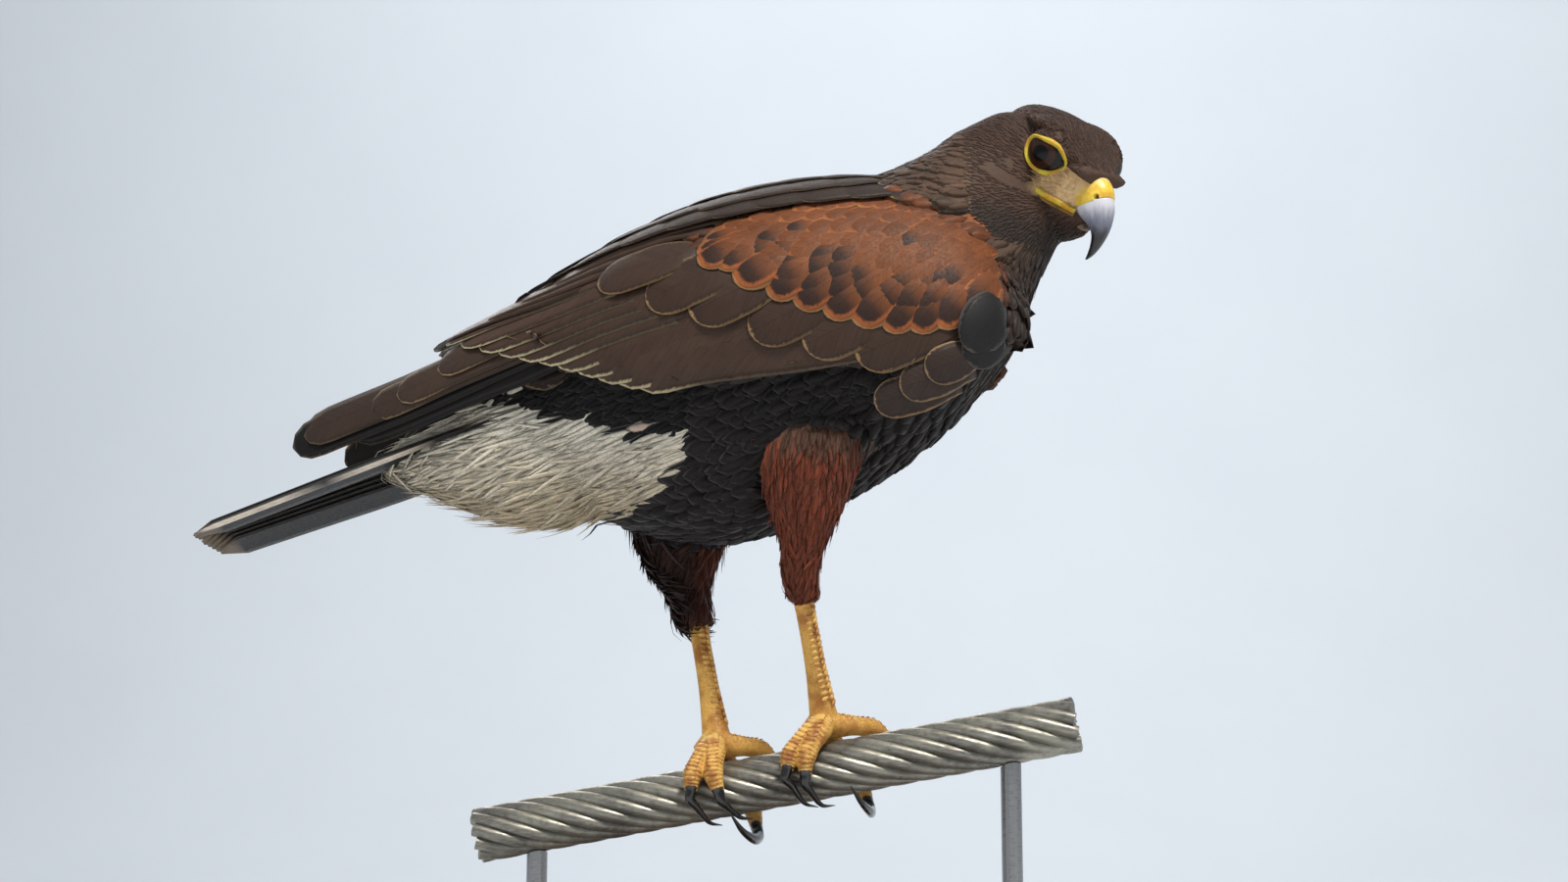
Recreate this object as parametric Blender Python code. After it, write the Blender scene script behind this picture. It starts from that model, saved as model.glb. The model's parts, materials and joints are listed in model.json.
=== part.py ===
"""Adult Harris hawk standing on a short cut length of twisted wire cable, held by a plain
display stand. The bird faces +X, its right side is -Y, and everything is in metres.
The origin is at the middle of the base's underside."""

import math
import random

import bmesh
import bpy
import numpy as np

# Sizes of the stand and the perch
BASE_LENGTH = 0.250
BASE_WIDTH = 0.150
BASE_THICK = 0.014
BASE_BEVEL = 0.002
ROD_RADIUS = 0.0045
ROD_FEET = (-0.108, 0.098)
ROD_SIDES = 16
SADDLE_REACH = 0.03
GAP = 0.0003

PERCH_RADIUS = 0.0120
PERCH_RISE = math.radians(10.1)
PERCH_MIDDLE = 0.0862
PERCH_ENDS = (-0.134, 0.126)
WIRE_COUNT = 10
WIRE_LAY = 0.125
WIRE_GROOVE = 0.0017
PERCH_RINGS = 22
# One wire's outline round the perch: part of the wire's width, depth below its crown
WIRE_SHAPE = ((0.0, WIRE_GROOVE), (0.27, 0.0), (0.73, 0.0))

# Body outline: each station is back (x, z), front (x, z) and half width
BODY = (
    (-0.119, 0.262, -0.119, 0.240, 0.014),
    (-0.106, 0.276, -0.106, 0.218, 0.026),
    (-0.082, 0.299, -0.084, 0.202, 0.038),
    (-0.052, 0.321, -0.054, 0.193, 0.046),
    (-0.020, 0.337, -0.020, 0.190, 0.051),
    (0.010, 0.346, 0.016, 0.2025, 0.053),
    (0.034, 0.3515, 0.050, 0.2220, 0.053),
    (0.051, 0.3580, 0.080, 0.2465, 0.050),
    (0.065, 0.3650, 0.100, 0.2690, 0.044),
    (0.076, 0.3735, 0.1075, 0.2860, 0.0365),
    (0.087, 0.3795, 0.1125, 0.3000, 0.0310),
    (0.0975, 0.3840, 0.1190, 0.3120, 0.0265),
    (0.1110, 0.3840, 0.1250, 0.3250, 0.0200),
)
BODY_SIDES = 18
BODY_RINGS = 20
BODY_SQUARE = 2.25

# Head: turned to the bird's right and bent down
HEAD_MIDDLE = (0.1230, -0.0040, 0.3580)
HEAD_TURN = math.radians(46.0)
HEAD_BEND = math.radians(35.0)
# Each head station: forward, top, bottom, half width
HEAD = (
    (-0.0320, 0.0090, -0.0080, 0.0080),
    (-0.0280, 0.0165, -0.0170, 0.0160),
    (-0.0205, 0.0203, -0.0255, 0.0207),
    (-0.0100, 0.0220, -0.0315, 0.0234),
    (0.0010, 0.0224, -0.0340, 0.0238),
    (0.0090, 0.0210, -0.0342, 0.0218),
    (0.0155, 0.0176, -0.0328, 0.0186),
    (0.0210, 0.0130, -0.0302, 0.0146),
    (0.0255, 0.0085, -0.0277, 0.0112),
    (0.0295, 0.0040, -0.0252, 0.0074),
    (0.0325, -0.0005, -0.0232, 0.0048),
)
# The shelf of the forehead and brows over the eyes, read in the same way
BROWS = (
    (-0.0050, 0.0196, 0.0110, 0.0200),
    (0.0030, 0.0214, 0.0108, 0.0218),
    (0.0105, 0.0198, 0.0102, 0.0212),
    (0.0175, 0.0150, 0.0084, 0.0198),
    (0.0240, 0.0104, 0.0052, 0.0184),
    (0.0290, 0.0072, 0.0018, 0.0160),
    (0.0318, 0.0046, 0.0004, 0.0110),
)
HEAD_SIDES = 18
HEAD_RINGS = 12
HEAD_SQUARE = 2.2

EYE_RADIUS = 0.0108
EYE_PLACE = (0.0100, 0.0060)
# How far out each eye's middle is; the left one, out of sight, sits a little deeper
EYE_OUT = {1: 0.0148, -1: 0.0134}
EYE_LOOK = (0.40, -0.04, 0.915)
EYE_SEGMENTS = (12, 8)
LID_LONG = 0.0090
LID_SHORT = 0.0070
LID_TILT = math.radians(16)
LID_THICK = 0.0017
LID_STEPS = 12
# Where the cone that parts the lids starts and ends, in eye radii
OPENING_REACH = (0.3, 1.6)

# How much wider the bill is below than above
BILL_FLARE = 0.22

# Tail
TAIL_ROOT = (-0.088, 0.0, 0.2600)
TAIL_DROP = math.radians(19.8)
TAIL_ROLL = math.radians(12.0)
TAIL_LENGTH = 0.190
TAIL_PAIRS = 6
TAIL_START = 0.030
TAIL_STEP = 0.0009
# How much the two halves of the fan draw together towards the tip, right and left
TAIL_CLOSING = {1: 0.22, -1: 0.50}
RECTRIX_HALF = 0.0105
# The root of the tail and the cream vent under it: along, half width, above and below
TAIL_CORE = (
    (-0.004, 0.026, 0.010, 0.050),
    (0.012, 0.0285, 0.0085, 0.057),
    (0.028, 0.0280, 0.0068, 0.057),
    (0.046, 0.0255, 0.0050, 0.050),
    (0.064, 0.0205, 0.0035, 0.036),
    (0.082, 0.0150, 0.0022, 0.0180),
    (0.096, 0.0100, 0.0012, 0.0060),
)

# Vanes: where their stations lie along them and how wide they are there
VANE_SHAPES = {
    4: ((0.0, 0.34, 0.84, 1.0), (0.60, 1.0, 0.92, 0.42)),
    5: ((0.0, 0.30, 0.62, 0.90, 1.0), (0.60, 1.0, 1.0, 0.86, 0.36)),
}
VANE_THICK = 0.0009
LOCK_WIDTHS = {3: (0.75, 1.0, 0.72, 0.10), 2: (0.8, 0.9, 0.12)}

random.seed(11)


def clear_scene():
    for obj in list(bpy.data.objects):
        bpy.data.objects.remove(obj, do_unlink=True)


def material(name, colour, rough, metal=0.0):
    made = bpy.data.materials.new(name)
    made.use_nodes = True
    shader = made.node_tree.nodes["Principled BSDF"]
    shader.inputs["Base Color"].default_value = (*colour, 1.0)
    shader.inputs["Roughness"].default_value = rough
    shader.inputs["Metallic"].default_value = metal
    made.diffuse_color = (*colour, 1.0)
    return made


def solid(name, verts, faces, collection=None):
    """A closed mesh object with its faces turned outwards."""
    mesh = bpy.data.meshes.new(name)
    mesh.from_pydata([tuple(map(float, v)) for v in verts], [], faces)
    bm = bmesh.new()
    bm.from_mesh(mesh)
    bmesh.ops.recalc_face_normals(bm, faces=bm.faces)
    bm.to_mesh(mesh)
    bm.free()
    obj = bpy.data.objects.new(name, mesh)
    (collection or bpy.context.scene.collection).objects.link(obj)
    return obj


def loft(name, rings):
    """Closed rings of equal length joined in order, each end closed by a fan."""
    count = len(rings[0])
    verts = [p for ring in rings for p in ring]
    faces = []
    for k in range(len(rings) - 1):
        for i in range(count):
            j = (i + 1) % count
            a, b = k * count + i, k * count + j
            c, d = (k + 1) * count + j, (k + 1) * count + i
            faces.append((a, b, c))
            faces.append((a, c, d))
    for ring_index in (0, len(rings) - 1):
        middle = len(verts)
        verts.append(np.mean(np.array(rings[ring_index]), axis=0))
        for i in range(count):
            j = (i + 1) % count
            faces.append((middle, ring_index * count + i, ring_index * count + j))
    return solid(name, verts, faces)


def smooth_rows(rows, count):
    """Catmull-Rom rows between the given ones, evenly spread."""
    rows = np.array(rows, float)
    ext = np.vstack([2 * rows[0] - rows[1], rows, 2 * rows[-1] - rows[-2]])
    out = []
    for u in np.linspace(0, len(rows) - 1, count):
        k = min(int(u), len(rows) - 2)
        t = u - k
        p0, p1, p2, p3 = ext[k : k + 4]
        out.append(
            0.5
            * (
                2 * p1
                + (p2 - p0) * t
                + (2 * p0 - 5 * p1 + 4 * p2 - p3) * t * t
                + (3 * p1 - p0 - 3 * p2 + p3) * t**3
            )
        )
    return out


def along(table, x):
    """Straight-line reading of a table whose first column falls or rises."""
    table = np.array(sorted(table), float)
    return [float(np.interp(x, table[:, 0], table[:, i])) for i in range(1, table.shape[1])]


def applied(obj):
    """Turns the object's modifiers into its own mesh."""
    bpy.context.view_layer.update()
    graph = bpy.context.evaluated_depsgraph_get()
    mesh = bpy.data.meshes.new_from_object(obj.evaluated_get(graph))
    obj.modifiers.clear()
    obj.data = mesh


def keep_largest(obj):
    """Leaves only the closed surface that holds the most."""
    bm = bmesh.new()
    bm.from_mesh(obj.data)
    bmesh.ops.triangulate(bm, faces=bm.faces)
    bmesh.ops.remove_doubles(bm, verts=bm.verts, dist=2e-7)
    bm.verts.ensure_lookup_table()
    left = set(bm.verts)
    groups = []
    while left:
        seed = left.pop()
        group, stack = {seed}, [seed]
        while stack:
            for edge in stack.pop().link_edges:
                for vert in edge.verts:
                    if vert in left:
                        left.discard(vert)
                        group.add(vert)
                        stack.append(vert)
        groups.append(group)

    def volume(group):
        faces = {f for v in group for f in v.link_faces}
        return sum(f.verts[0].co.dot(f.verts[1].co.cross(f.verts[2].co)) for f in faces) / 6

    groups.sort(key=volume, reverse=True)
    for group in groups[1:]:
        bmesh.ops.delete(bm, geom=list(group), context="VERTS")
    bm.to_mesh(obj.data)
    bm.free()
    return obj


def fused(name, pieces, solver="EXACT"):
    """One Boolean union of closed pieces, with only its largest surface kept."""
    base = pieces[0]
    base.name = name
    if len(pieces) > 1:
        group = bpy.data.collections.new(name + "_pieces")
        bpy.context.scene.collection.children.link(group)
        for piece in pieces[1:]:
            bpy.context.scene.collection.objects.unlink(piece)
            group.objects.link(piece)
        union = base.modifiers.new("union", "BOOLEAN")
        union.operation = "UNION"
        union.operand_type = "COLLECTION"
        union.collection = group
        union.solver = solver
        applied(base)
        for piece in list(group.objects):
            bpy.data.objects.remove(piece, do_unlink=True)
        bpy.data.collections.remove(group)
    return keep_largest(base)


def cut(obj, cutters, solver="EXACT"):
    for cutter in cutters:
        cutter.hide_render = True
        cutter.display_type = "WIRE"
        carve = obj.modifiers.new("carve", "BOOLEAN")
        carve.operation = "DIFFERENCE"
        carve.object = cutter
        carve.solver = solver
        applied(obj)
        bpy.data.objects.remove(cutter, do_unlink=True)
    return obj


def finish(obj, surface, smooth=False):
    obj.data.materials.clear()
    obj.data.materials.append(surface)
    for face in obj.data.polygons:
        face.use_smooth = smooth
    return obj


def unit(v):
    v = np.array(v, float)
    return v / np.linalg.norm(v)


def vane(name, middles, across, outward, halves, thicks):
    """A flat feather vane: four corners a station, split alike on both faces."""
    verts, faces = [], []
    for m, a, n, h, t in zip(middles, across, outward, halves, thicks):
        m, a, n = np.array(m), np.array(a) * h, np.array(n) * t / 2
        verts += [m - a + n, m + a + n, m + a - n, m - a - n]
    last = len(middles) - 1
    for k in range(last):
        a, b = 4 * k, 4 * k + 4
        for i in (0, 2):
            faces.append((a + i, a + i + 1, b + i + 1))
            faces.append((a + i, b + i + 1, b + i))
        faces[-2:] = [(a + 3, a + 2, b + 2), (a + 3, b + 2, b + 3)]
        faces += [(a + 1, a + 2, b + 2), (a + 1, b + 2, b + 1)]
        faces += [(a + 3, a, b), (a + 3, b, b + 3)]
    faces += [(0, 1, 2), (0, 2, 3)]
    e = 4 * last
    faces += [(e, e + 1, e + 2), (e, e + 2, e + 3)]
    return solid(name, verts, faces)


def lock(name, root, direction, outward, length, half, thick, bend=0.0, steps=3):
    """A flat tapered tuft that starts at root and curls by bend towards -outward."""
    direction, outward = unit(direction), unit(outward)
    side = unit(np.cross(direction, outward))
    outward = np.cross(side, direction)
    middles, halves, thicks = [], [], []
    shape = LOCK_WIDTHS[steps]
    for k in range(steps + 1):
        s = k / steps
        middles.append(np.array(root) + direction * length * s - outward * bend * length * s * s)
        halves.append(half * shape[k])
        thicks.append(thick * (1.0 - 0.65 * s))
    count = steps + 1
    return vane(name, middles, [side] * count, [outward] * count, halves, thicks)


def ellipse_ring(middle, side, up, half, high, low, count, square, flare=0.0):
    ring = []
    for i in range(count):
        a = 2 * math.pi * i / count
        c, s = math.cos(a), math.sin(a)
        p = abs(c) ** (2 / square) * (high if c > 0 else low) * (1 if c > 0 else -1)
        q = abs(s) ** (2 / square) * half * (1 if s > 0 else -1) * (1 - flare * c)
        ring.append(np.array(middle) + np.array(up) * p + np.array(side) * q)
    return ring


def body_rings(grow, count=BODY_RINGS, sides=BODY_SIDES):
    rings = []
    rows = smooth_rows(BODY, count)
    for k, (xt, zt, xb, zb, half) in enumerate(rows):
        top, bottom = np.array([xt, 0, zt]), np.array([xb, 0, zb])
        up = unit(top - bottom)
        high = np.linalg.norm(top - bottom) / 2 + grow
        ahead = np.array([up[2], 0, -up[0]])
        shift = grow * (1 if k == count - 1 else -1 if k == 0 else 0)
        rings.append(
            ellipse_ring(
                (top + bottom) / 2 + ahead * shift,
                (0, 1, 0),
                up,
                half + grow,
                high,
                high,
                sides,
                BODY_SQUARE,
            )
        )
    return rings


def body_solid(name, grow):
    return loft(name, body_rings(grow))


# The head's own axes: ahead, up and to the bird's right
HEAD_AHEAD = np.array(
    [
        math.cos(HEAD_BEND) * math.cos(HEAD_TURN),
        -math.cos(HEAD_BEND) * math.sin(HEAD_TURN),
        -math.sin(HEAD_BEND),
    ]
)
HEAD_UP = np.array(
    [
        math.sin(HEAD_BEND) * math.cos(HEAD_TURN),
        -math.sin(HEAD_BEND) * math.sin(HEAD_TURN),
        math.cos(HEAD_BEND),
    ]
)
HEAD_RIGHT = np.array([-math.sin(HEAD_TURN), -math.cos(HEAD_TURN), 0.0])


def on_head(ahead, up, right):
    return np.array(HEAD_MIDDLE) + HEAD_AHEAD * ahead + HEAD_UP * up + HEAD_RIGHT * right


def head_middle(top, bottom):
    return 0.45 * top + 0.55 * bottom + 0.0015


def head_side(ahead, up):
    """How far out the head's surface is at this place on its side."""
    top, bottom, half = along(HEAD, ahead)
    mid = head_middle(top, bottom)
    part = (up - mid) / (top - mid) if up > mid else (mid - up) / (mid - bottom)
    return half * max(0.0, 1 - part**HEAD_SQUARE) ** (1 / HEAD_SQUARE)


def beside_head(ahead, up, out, side):
    return on_head(ahead, up, (head_side(ahead, up) + out) * side)


def head_solid(name):
    rings = []
    for f, top, bottom, half in smooth_rows(HEAD, HEAD_RINGS):
        mid = head_middle(top, bottom)
        rings.append(
            ellipse_ring(
                on_head(f, mid, 0),
                HEAD_RIGHT,
                HEAD_UP,
                half,
                top - mid,
                mid - bottom,
                HEAD_SIDES,
                HEAD_SQUARE,
            )
        )
    return loft(name, rings)


def brow_shelf():
    rings = []
    for f, top, bottom, half in smooth_rows(BROWS, 8):
        mid = (top + bottom) / 2
        high = (top - bottom) / 2
        rings.append(ellipse_ring(on_head(f, mid, 0), HEAD_RIGHT, HEAD_UP, half, high, high, 12, 2.4))
    return loft("brows", rings)


def tube(name, points, radii, sides, up=(0, 0, 1)):
    """A round tube through the points, its ends square to its path."""
    points = [np.array(p, float) for p in points]
    rings = []
    for k, p in enumerate(points):
        before = points[max(k - 1, 0)]
        after = points[min(k + 1, len(points) - 1)]
        way = unit(after - before)
        side = np.cross(way, up)
        if np.linalg.norm(side) < 1e-3:
            side = np.cross(way, (0, 1, 0))
        side = unit(side)
        over = np.cross(side, way)
        ring = []
        for i in range(sides):
            a = 2 * math.pi * (i + 0.5) / sides
            ring.append(
                p + side * math.cos(a) * radii[k] + over * math.sin(a) * radii[k]
            )
        rings.append(ring)
    return loft(name, rings)


def ball(name, middle, radius, segments=(18, 10), axis=(0, 0, 1)):
    axis = unit(axis)
    other = unit(np.cross(axis, (0.3, 0.9, 0.1)))
    third = np.cross(axis, other)
    count, rows = segments
    verts = [np.array(middle) + axis * radius]
    for j in range(1, rows):
        b = math.pi * j / rows
        for i in range(count):
            a = 2 * math.pi * i / count
            verts.append(
                np.array(middle)
                + axis * radius * math.cos(b)
                + (other * math.cos(a) + third * math.sin(a)) * radius * math.sin(b)
            )
    verts.append(np.array(middle) - axis * radius)
    faces = []
    last = len(verts) - 1
    for i in range(count):
        j = (i + 1) % count
        faces.append((0, 1 + i, 1 + j))
        faces.append((last, last - count + j, last - count + i))
        for k in range(rows - 2):
            a, b = 1 + k * count + i, 1 + k * count + j
            faces.append((a, a + count, b + count))
            faces.append((a, b + count, b))
    return solid(name, verts, faces)


def box(name, low, high):
    verts = [(x, y, z) for x in (low[0], high[0]) for y in (low[1], high[1]) for z in (low[2], high[2])]
    faces = [(0, 1, 3, 2), (4, 6, 7, 5), (0, 4, 5, 1), (2, 3, 7, 6), (0, 2, 6, 4), (1, 5, 7, 3)]
    return solid(name, verts, faces)


def plate(name, middle, normal, thick, size):
    """A thin square plate used to part the body."""
    normal = unit(normal)
    side = unit(np.cross(normal, (0.1, 1, 0.2)))
    other = np.cross(normal, side)
    verts = []
    for n in (-1, 1):
        for a in (-1, 1):
            for b in (-1, 1):
                verts.append(
                    np.array(middle) + normal * n * thick / 2 + side * a * size + other * b * size
                )
    faces = [(0, 1, 3, 2), (4, 6, 7, 5), (0, 4, 5, 1), (2, 3, 7, 6), (0, 2, 6, 4), (1, 5, 7, 3)]
    return solid(name, verts, faces)


clear_scene()

SKIN = {
    "head": material("head_feathers", (0.062, 0.036, 0.026), 0.75),
    "neck": material("neck_feathers", (0.075, 0.045, 0.028), 0.75),
    "torso": material("body_feathers", (0.020, 0.016, 0.016), 0.75),
    "wing_right": material("wing_feathers_right", (0.085, 0.045, 0.027), 0.65),
    "wing_left": material("wing_feathers_left", (0.085, 0.045, 0.027), 0.65),
    "tail": material("tail_feathers", (0.020, 0.018, 0.020), 0.6),
    "thigh_right": material("thigh_feathers_right", (0.24, 0.06, 0.018), 0.75),
    "thigh_left": material("thigh_feathers_left", (0.05, 0.022, 0.014), 0.75),
}
YELLOW = (0.78, 0.45, 0.13)


# The perch: round wires laid side by side in a twist
perch_way = np.array([math.cos(PERCH_RISE), 0.0, math.sin(PERCH_RISE)])
perch_up = np.array([-math.sin(PERCH_RISE), 0.0, math.cos(PERCH_RISE)])
perch_near = np.array([0.0, -1.0, 0.0])


def on_perch(s, angle, out):
    """A point s along the perch from X = 0, angle from its top towards the right side."""
    middle = np.array([0, 0, PERCH_MIDDLE]) + perch_way * s
    return middle + out * (perch_up * math.cos(angle) + perch_near * math.sin(angle))


def make_perch():
    start, end = (x / math.cos(PERCH_RISE) for x in PERCH_ENDS)
    rings = []
    for k in range(PERCH_RINGS + 1):
        s = start + (end - start) * k / PERCH_RINGS
        twist = 2 * math.pi * s / WIRE_LAY
        ring = []
        for w in range(WIRE_COUNT):
            for part, groove in WIRE_SHAPE:
                a = 2 * math.pi * (w + part) / WIRE_COUNT
                ring.append(on_perch(s, a + twist, PERCH_RADIUS - groove))
        rings.append(ring)
    made = loft("perch", rings)
    return finish(made, material("perch_steel", (0.42, 0.42, 0.40), 0.45, 0.8))


def make_stand():
    base = box(
        "stand_base",
        (-BASE_LENGTH / 2, -BASE_WIDTH / 2, 0.0),
        (BASE_LENGTH / 2, BASE_WIDTH / 2, BASE_THICK),
    )
    bevel = base.modifiers.new("edge", "BEVEL")
    bevel.width = BASE_BEVEL
    bevel.segments = 2
    finish(base, material("stand_grey_base", (0.30, 0.30, 0.30), 0.5))
    for number, x in enumerate(ROD_FEET, start=1):
        top = PERCH_MIDDLE + x * math.tan(PERCH_RISE)
        rod = tube(
            f"stand_rod_{number}",
            [(x, 0, BASE_THICK + GAP), (x, 0, (BASE_THICK + top) / 2), (x, 0, top)],
            [ROD_RADIUS] * 3,
            ROD_SIDES,
            up=(1, 0, 0),
        )
        saddle = tube(
            "saddle",
            [on_perch(x / math.cos(PERCH_RISE) + d, 0, 0) for d in (-SADDLE_REACH, 0, SADDLE_REACH)],
            [PERCH_RADIUS + GAP] * 3,
            20,
        )
        cut(rod, [saddle])
        keep_largest(rod)
        finish(rod, material(f"stand_steel_{number}", (0.55, 0.55, 0.56), 0.35, 0.9), True)


make_perch()
make_stand()


# Legs and feet
FEET = {
    "right": {
        "hub": 0.0205,
        "side": -1,
        "heel": (0.0085, -0.0275, 0.1740),
        "lean": -0.0006,
        "toes": (
            ("inner", ((0.000, 12, 1.5), (-0.009, 38, 0.6), (-0.0150, 62, 0.4), (-0.0175, 84, 0.8))),
            ("middle", ((0.000, 14, 1.5), (-0.004, 42, 0.4), (-0.0085, 70, 0.4), (-0.0100, 96, 1.0))),
            ("outer", ((0.003, -4, 1.0), (0.012, -10, 0.5), (0.0210, -32, 0.4), (0.0270, -64, 0.6))),
            ("hind", ((0.000, -22, 1.0), (0.004, -70, 0.5), (0.0100, -115, 1.8), (0.0125, -148, 4.6))),
        ),
    },
    "left": {
        "hub": -0.0266,
        "side": 1,
        "heel": (-0.0440, 0.0250, 0.1690),
        "lean": 0.0006,
        "toes": (
            ("inner", ((0.000, 12, 1.5), (-0.006, 38, 0.6), (-0.0100, 64, 0.4), (-0.0118, 88, 0.8))),
            ("middle", ((0.000, 14, 1.5), (0.000, 42, 0.4), (-0.0010, 70, 0.4), (0.0000, 98, 1.0))),
            ("outer", ((0.003, -4, 1.0), (0.011, -10, 0.5), (0.0185, -32, 0.4), (0.0235, -64, 0.6))),
            ("hind", ((0.000, -22, 1.0), (0.004, -70, 0.5), (0.0090, -115, 2.2), (0.0105, -150, 6.2))),
        ),
    },
}
TOE_RADII = (0.0052, 0.0044, 0.0040, 0.0030)
TOE_SIDES = 6
TOE_RINGS = 9
# The ball of the foot: along the perch, up from its middle, radius
HUB = ((-0.0085, -0.0022, 0.0032), (-0.003, 0.0, 0.0062), (0.003, 0.0, 0.0062), (0.0085, -0.0022, 0.0034))
HUB_RISE = 0.0022
ANKLE_RISE = 0.0075
CLAW_RINGS = 7
CLAW_SIDES = 7
CLAWS = {
    "right": {
        "inner": (0.0030, ((-0.0165, 106, 3.2), (-0.0130, 136, 3.6), (-0.0080, 166, 1.6))),
        "middle": (0.0030, ((-0.0092, 120, 3.2), (-0.0060, 148, 3.4), (-0.0010, 176, 1.6))),
        "outer": (0.0024, ((0.0290, -86, 1.0), (0.0295, -108, 1.2), (0.0280, -128, 1.4))),
        "hind": (0.0031, ((0.0130, -178, 6.2), (0.0110, -208, 5.0), (0.0080, -236, 2.6))),
    },
    "left": {
        "inner": (0.0030, ((-0.0105, 112, 3.2), (-0.0070, 140, 3.4), (-0.0025, 168, 1.6))),
        "middle": (0.0030, ((0.0022, 120, 2.8), (0.0065, 144, 2.8), (0.0115, 168, 1.4))),
        "outer": (0.0024, ((0.0255, -86, 1.0), (0.0258, -108, 1.2), (0.0240, -128, 1.4))),
        "hind": (0.0031, ((0.0095, -180, 9.0), (0.0065, -208, 8.0), (0.0030, -234, 5.0))),
    },
}


def toe_points(hub, rows):
    made = []
    for (ds, angle, lift), radius in zip(rows, TOE_RADII):
        out = PERCH_RADIUS + 2 * GAP + radius + lift / 1000
        made.append(on_perch(hub + ds, math.radians(angle), out))
    return made


def claw(name, root, way, hub, toe_end, radius, rows, surface):
    """A tapering hook that starts square to the toe's end and curls round the wire."""
    points = [np.array(root), np.array(root) + unit(way) * radius * 1.1]
    for ds, angle, lift in rows:
        points.append(on_perch(hub + ds, math.radians(angle), PERCH_RADIUS + radius * 0.6 + lift / 1000))
    centres = smooth_rows(points, CLAW_RINGS)
    last = len(centres) - 1
    rings = []
    for k, middle in enumerate(centres):
        before, after = centres[max(k - 1, 0)], centres[min(k + 1, last)]
        ahead = unit(way) if k == 0 else unit(after - before)
        side = unit(np.cross(ahead, toe_end))
        over = np.cross(side, ahead)
        r = radius * (1 - 0.90 * (k / last) ** 1.25)
        ring = []
        for i in range(CLAW_SIDES):
            b = 2 * math.pi * i / CLAW_SIDES
            ring.append(middle + side * math.cos(b) * r * 0.82 + over * math.sin(b) * r * 1.12)
        rings.append(ring)
    return finish(loft(name, rings), surface, True)


def make_foot(which):
    data = FEET[which]
    hub_s = data["hub"] / math.cos(PERCH_RISE)
    lift = PERCH_RADIUS + 2 * GAP + TOE_RADII[0]
    hub = on_perch(hub_s, 0.0, lift + HUB_RISE)
    ankle = hub + np.array([0.0005, data["lean"], ANKLE_RISE])
    ball_of_foot = [hub + perch_way * d + perch_up * u for d, u, _ in HUB]
    pieces = [tube("hub", ball_of_foot, [row[2] for row in HUB], 10)]
    claws = []
    for toe, rows in data["toes"]:
        points = toe_points(hub_s, rows)
        start = hub + (points[0] - hub) * 0.35
        path = [start] + points
        dense, radii = [], []
        stations = [list(p) + [r] for p, r in zip(path, (TOE_RADII[0],) + TOE_RADII)]
        for row in smooth_rows(stations, TOE_RINGS):
            dense.append(row[:3])
            radii.append(row[3])
        for k in range(1, len(radii) - 1):
            radii[k] *= 1.0 + 0.09 * math.cos(2.6 * k)
        middle_line = np.array([0, 0, PERCH_MIDDLE])
        pieces.append(tube(f"toe_{toe}", dense, radii, TOE_SIDES, up=unit(points[1] - middle_line)))
        way = unit(dense[-1] - dense[-2])
        s = np.dot(dense[-1] - middle_line, perch_way)
        outward = dense[-1] - middle_line - perch_way * s
        radius, rows = CLAWS[which][toe]
        claws.append((toe, dense[-1] + way * GAP, way, outward, radius, rows))
    foot = fused(f"foot_{which}", pieces)
    above = box("above", ankle - np.array([0.03, 0.03, 0.0]), ankle + np.array([0.03, 0.03, 0.03]))
    cut(foot, [above])
    keep_largest(foot)
    finish(foot, material(f"foot_skin_{which}", YELLOW, 0.55), True)
    for toe, root, way, outward, radius, rows in claws:
        surface = material(f"claw_horn_{which}_{toe}", (0.012, 0.011, 0.012), 0.25)
        claw(f"claw_{which}_{toe}", root, way, hub_s, outward, radius, rows, surface)
    return hub, ankle


# The bare leg: part of its height, half length and half width
TARSUS = (
    (0.0, 0.0062, 0.0055),
    (0.12, 0.0054, 0.0047),
    (0.35, 0.0044, 0.0039),
    (0.65, 0.0041, 0.0036),
    (0.88, 0.0048, 0.0041),
    (1.0, 0.0056, 0.0048),
)
TARSUS_RINGS = 7
TARSUS_SIDES = 10


def tarsus_rings(which, ankle, grow, reach=0.0):
    low = np.array([ankle[0], ankle[1], ankle[2] + GAP])
    high = np.array(FEET[which]["heel"])
    rings = []
    rows = [(*(low + (high - low) * s), rx, ry) for s, rx, ry in TARSUS]
    for x, y, z, rx, ry in smooth_rows(rows, TARSUS_RINGS):
        height = z + reach * (z - low[2])
        ring = []
        for i in range(TARSUS_SIDES):
            a = 2 * math.pi * i / TARSUS_SIDES
            ring.append((x + (rx + grow) * math.cos(a), y + (ry + grow) * math.sin(a), height))
        rings.append(ring)
    return rings


def make_tarsus(which, ankle):
    made = loft(f"tarsus_{which}", tarsus_rings(which, ankle, 0.0))
    return finish(made, material(f"tarsus_skin_{which}", YELLOW, 0.55), True)


ANKLES = {}
for which in ("right", "left"):
    hub, ankle = make_foot(which)
    ANKLES[which] = ankle
    make_tarsus(which, ankle)


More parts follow.
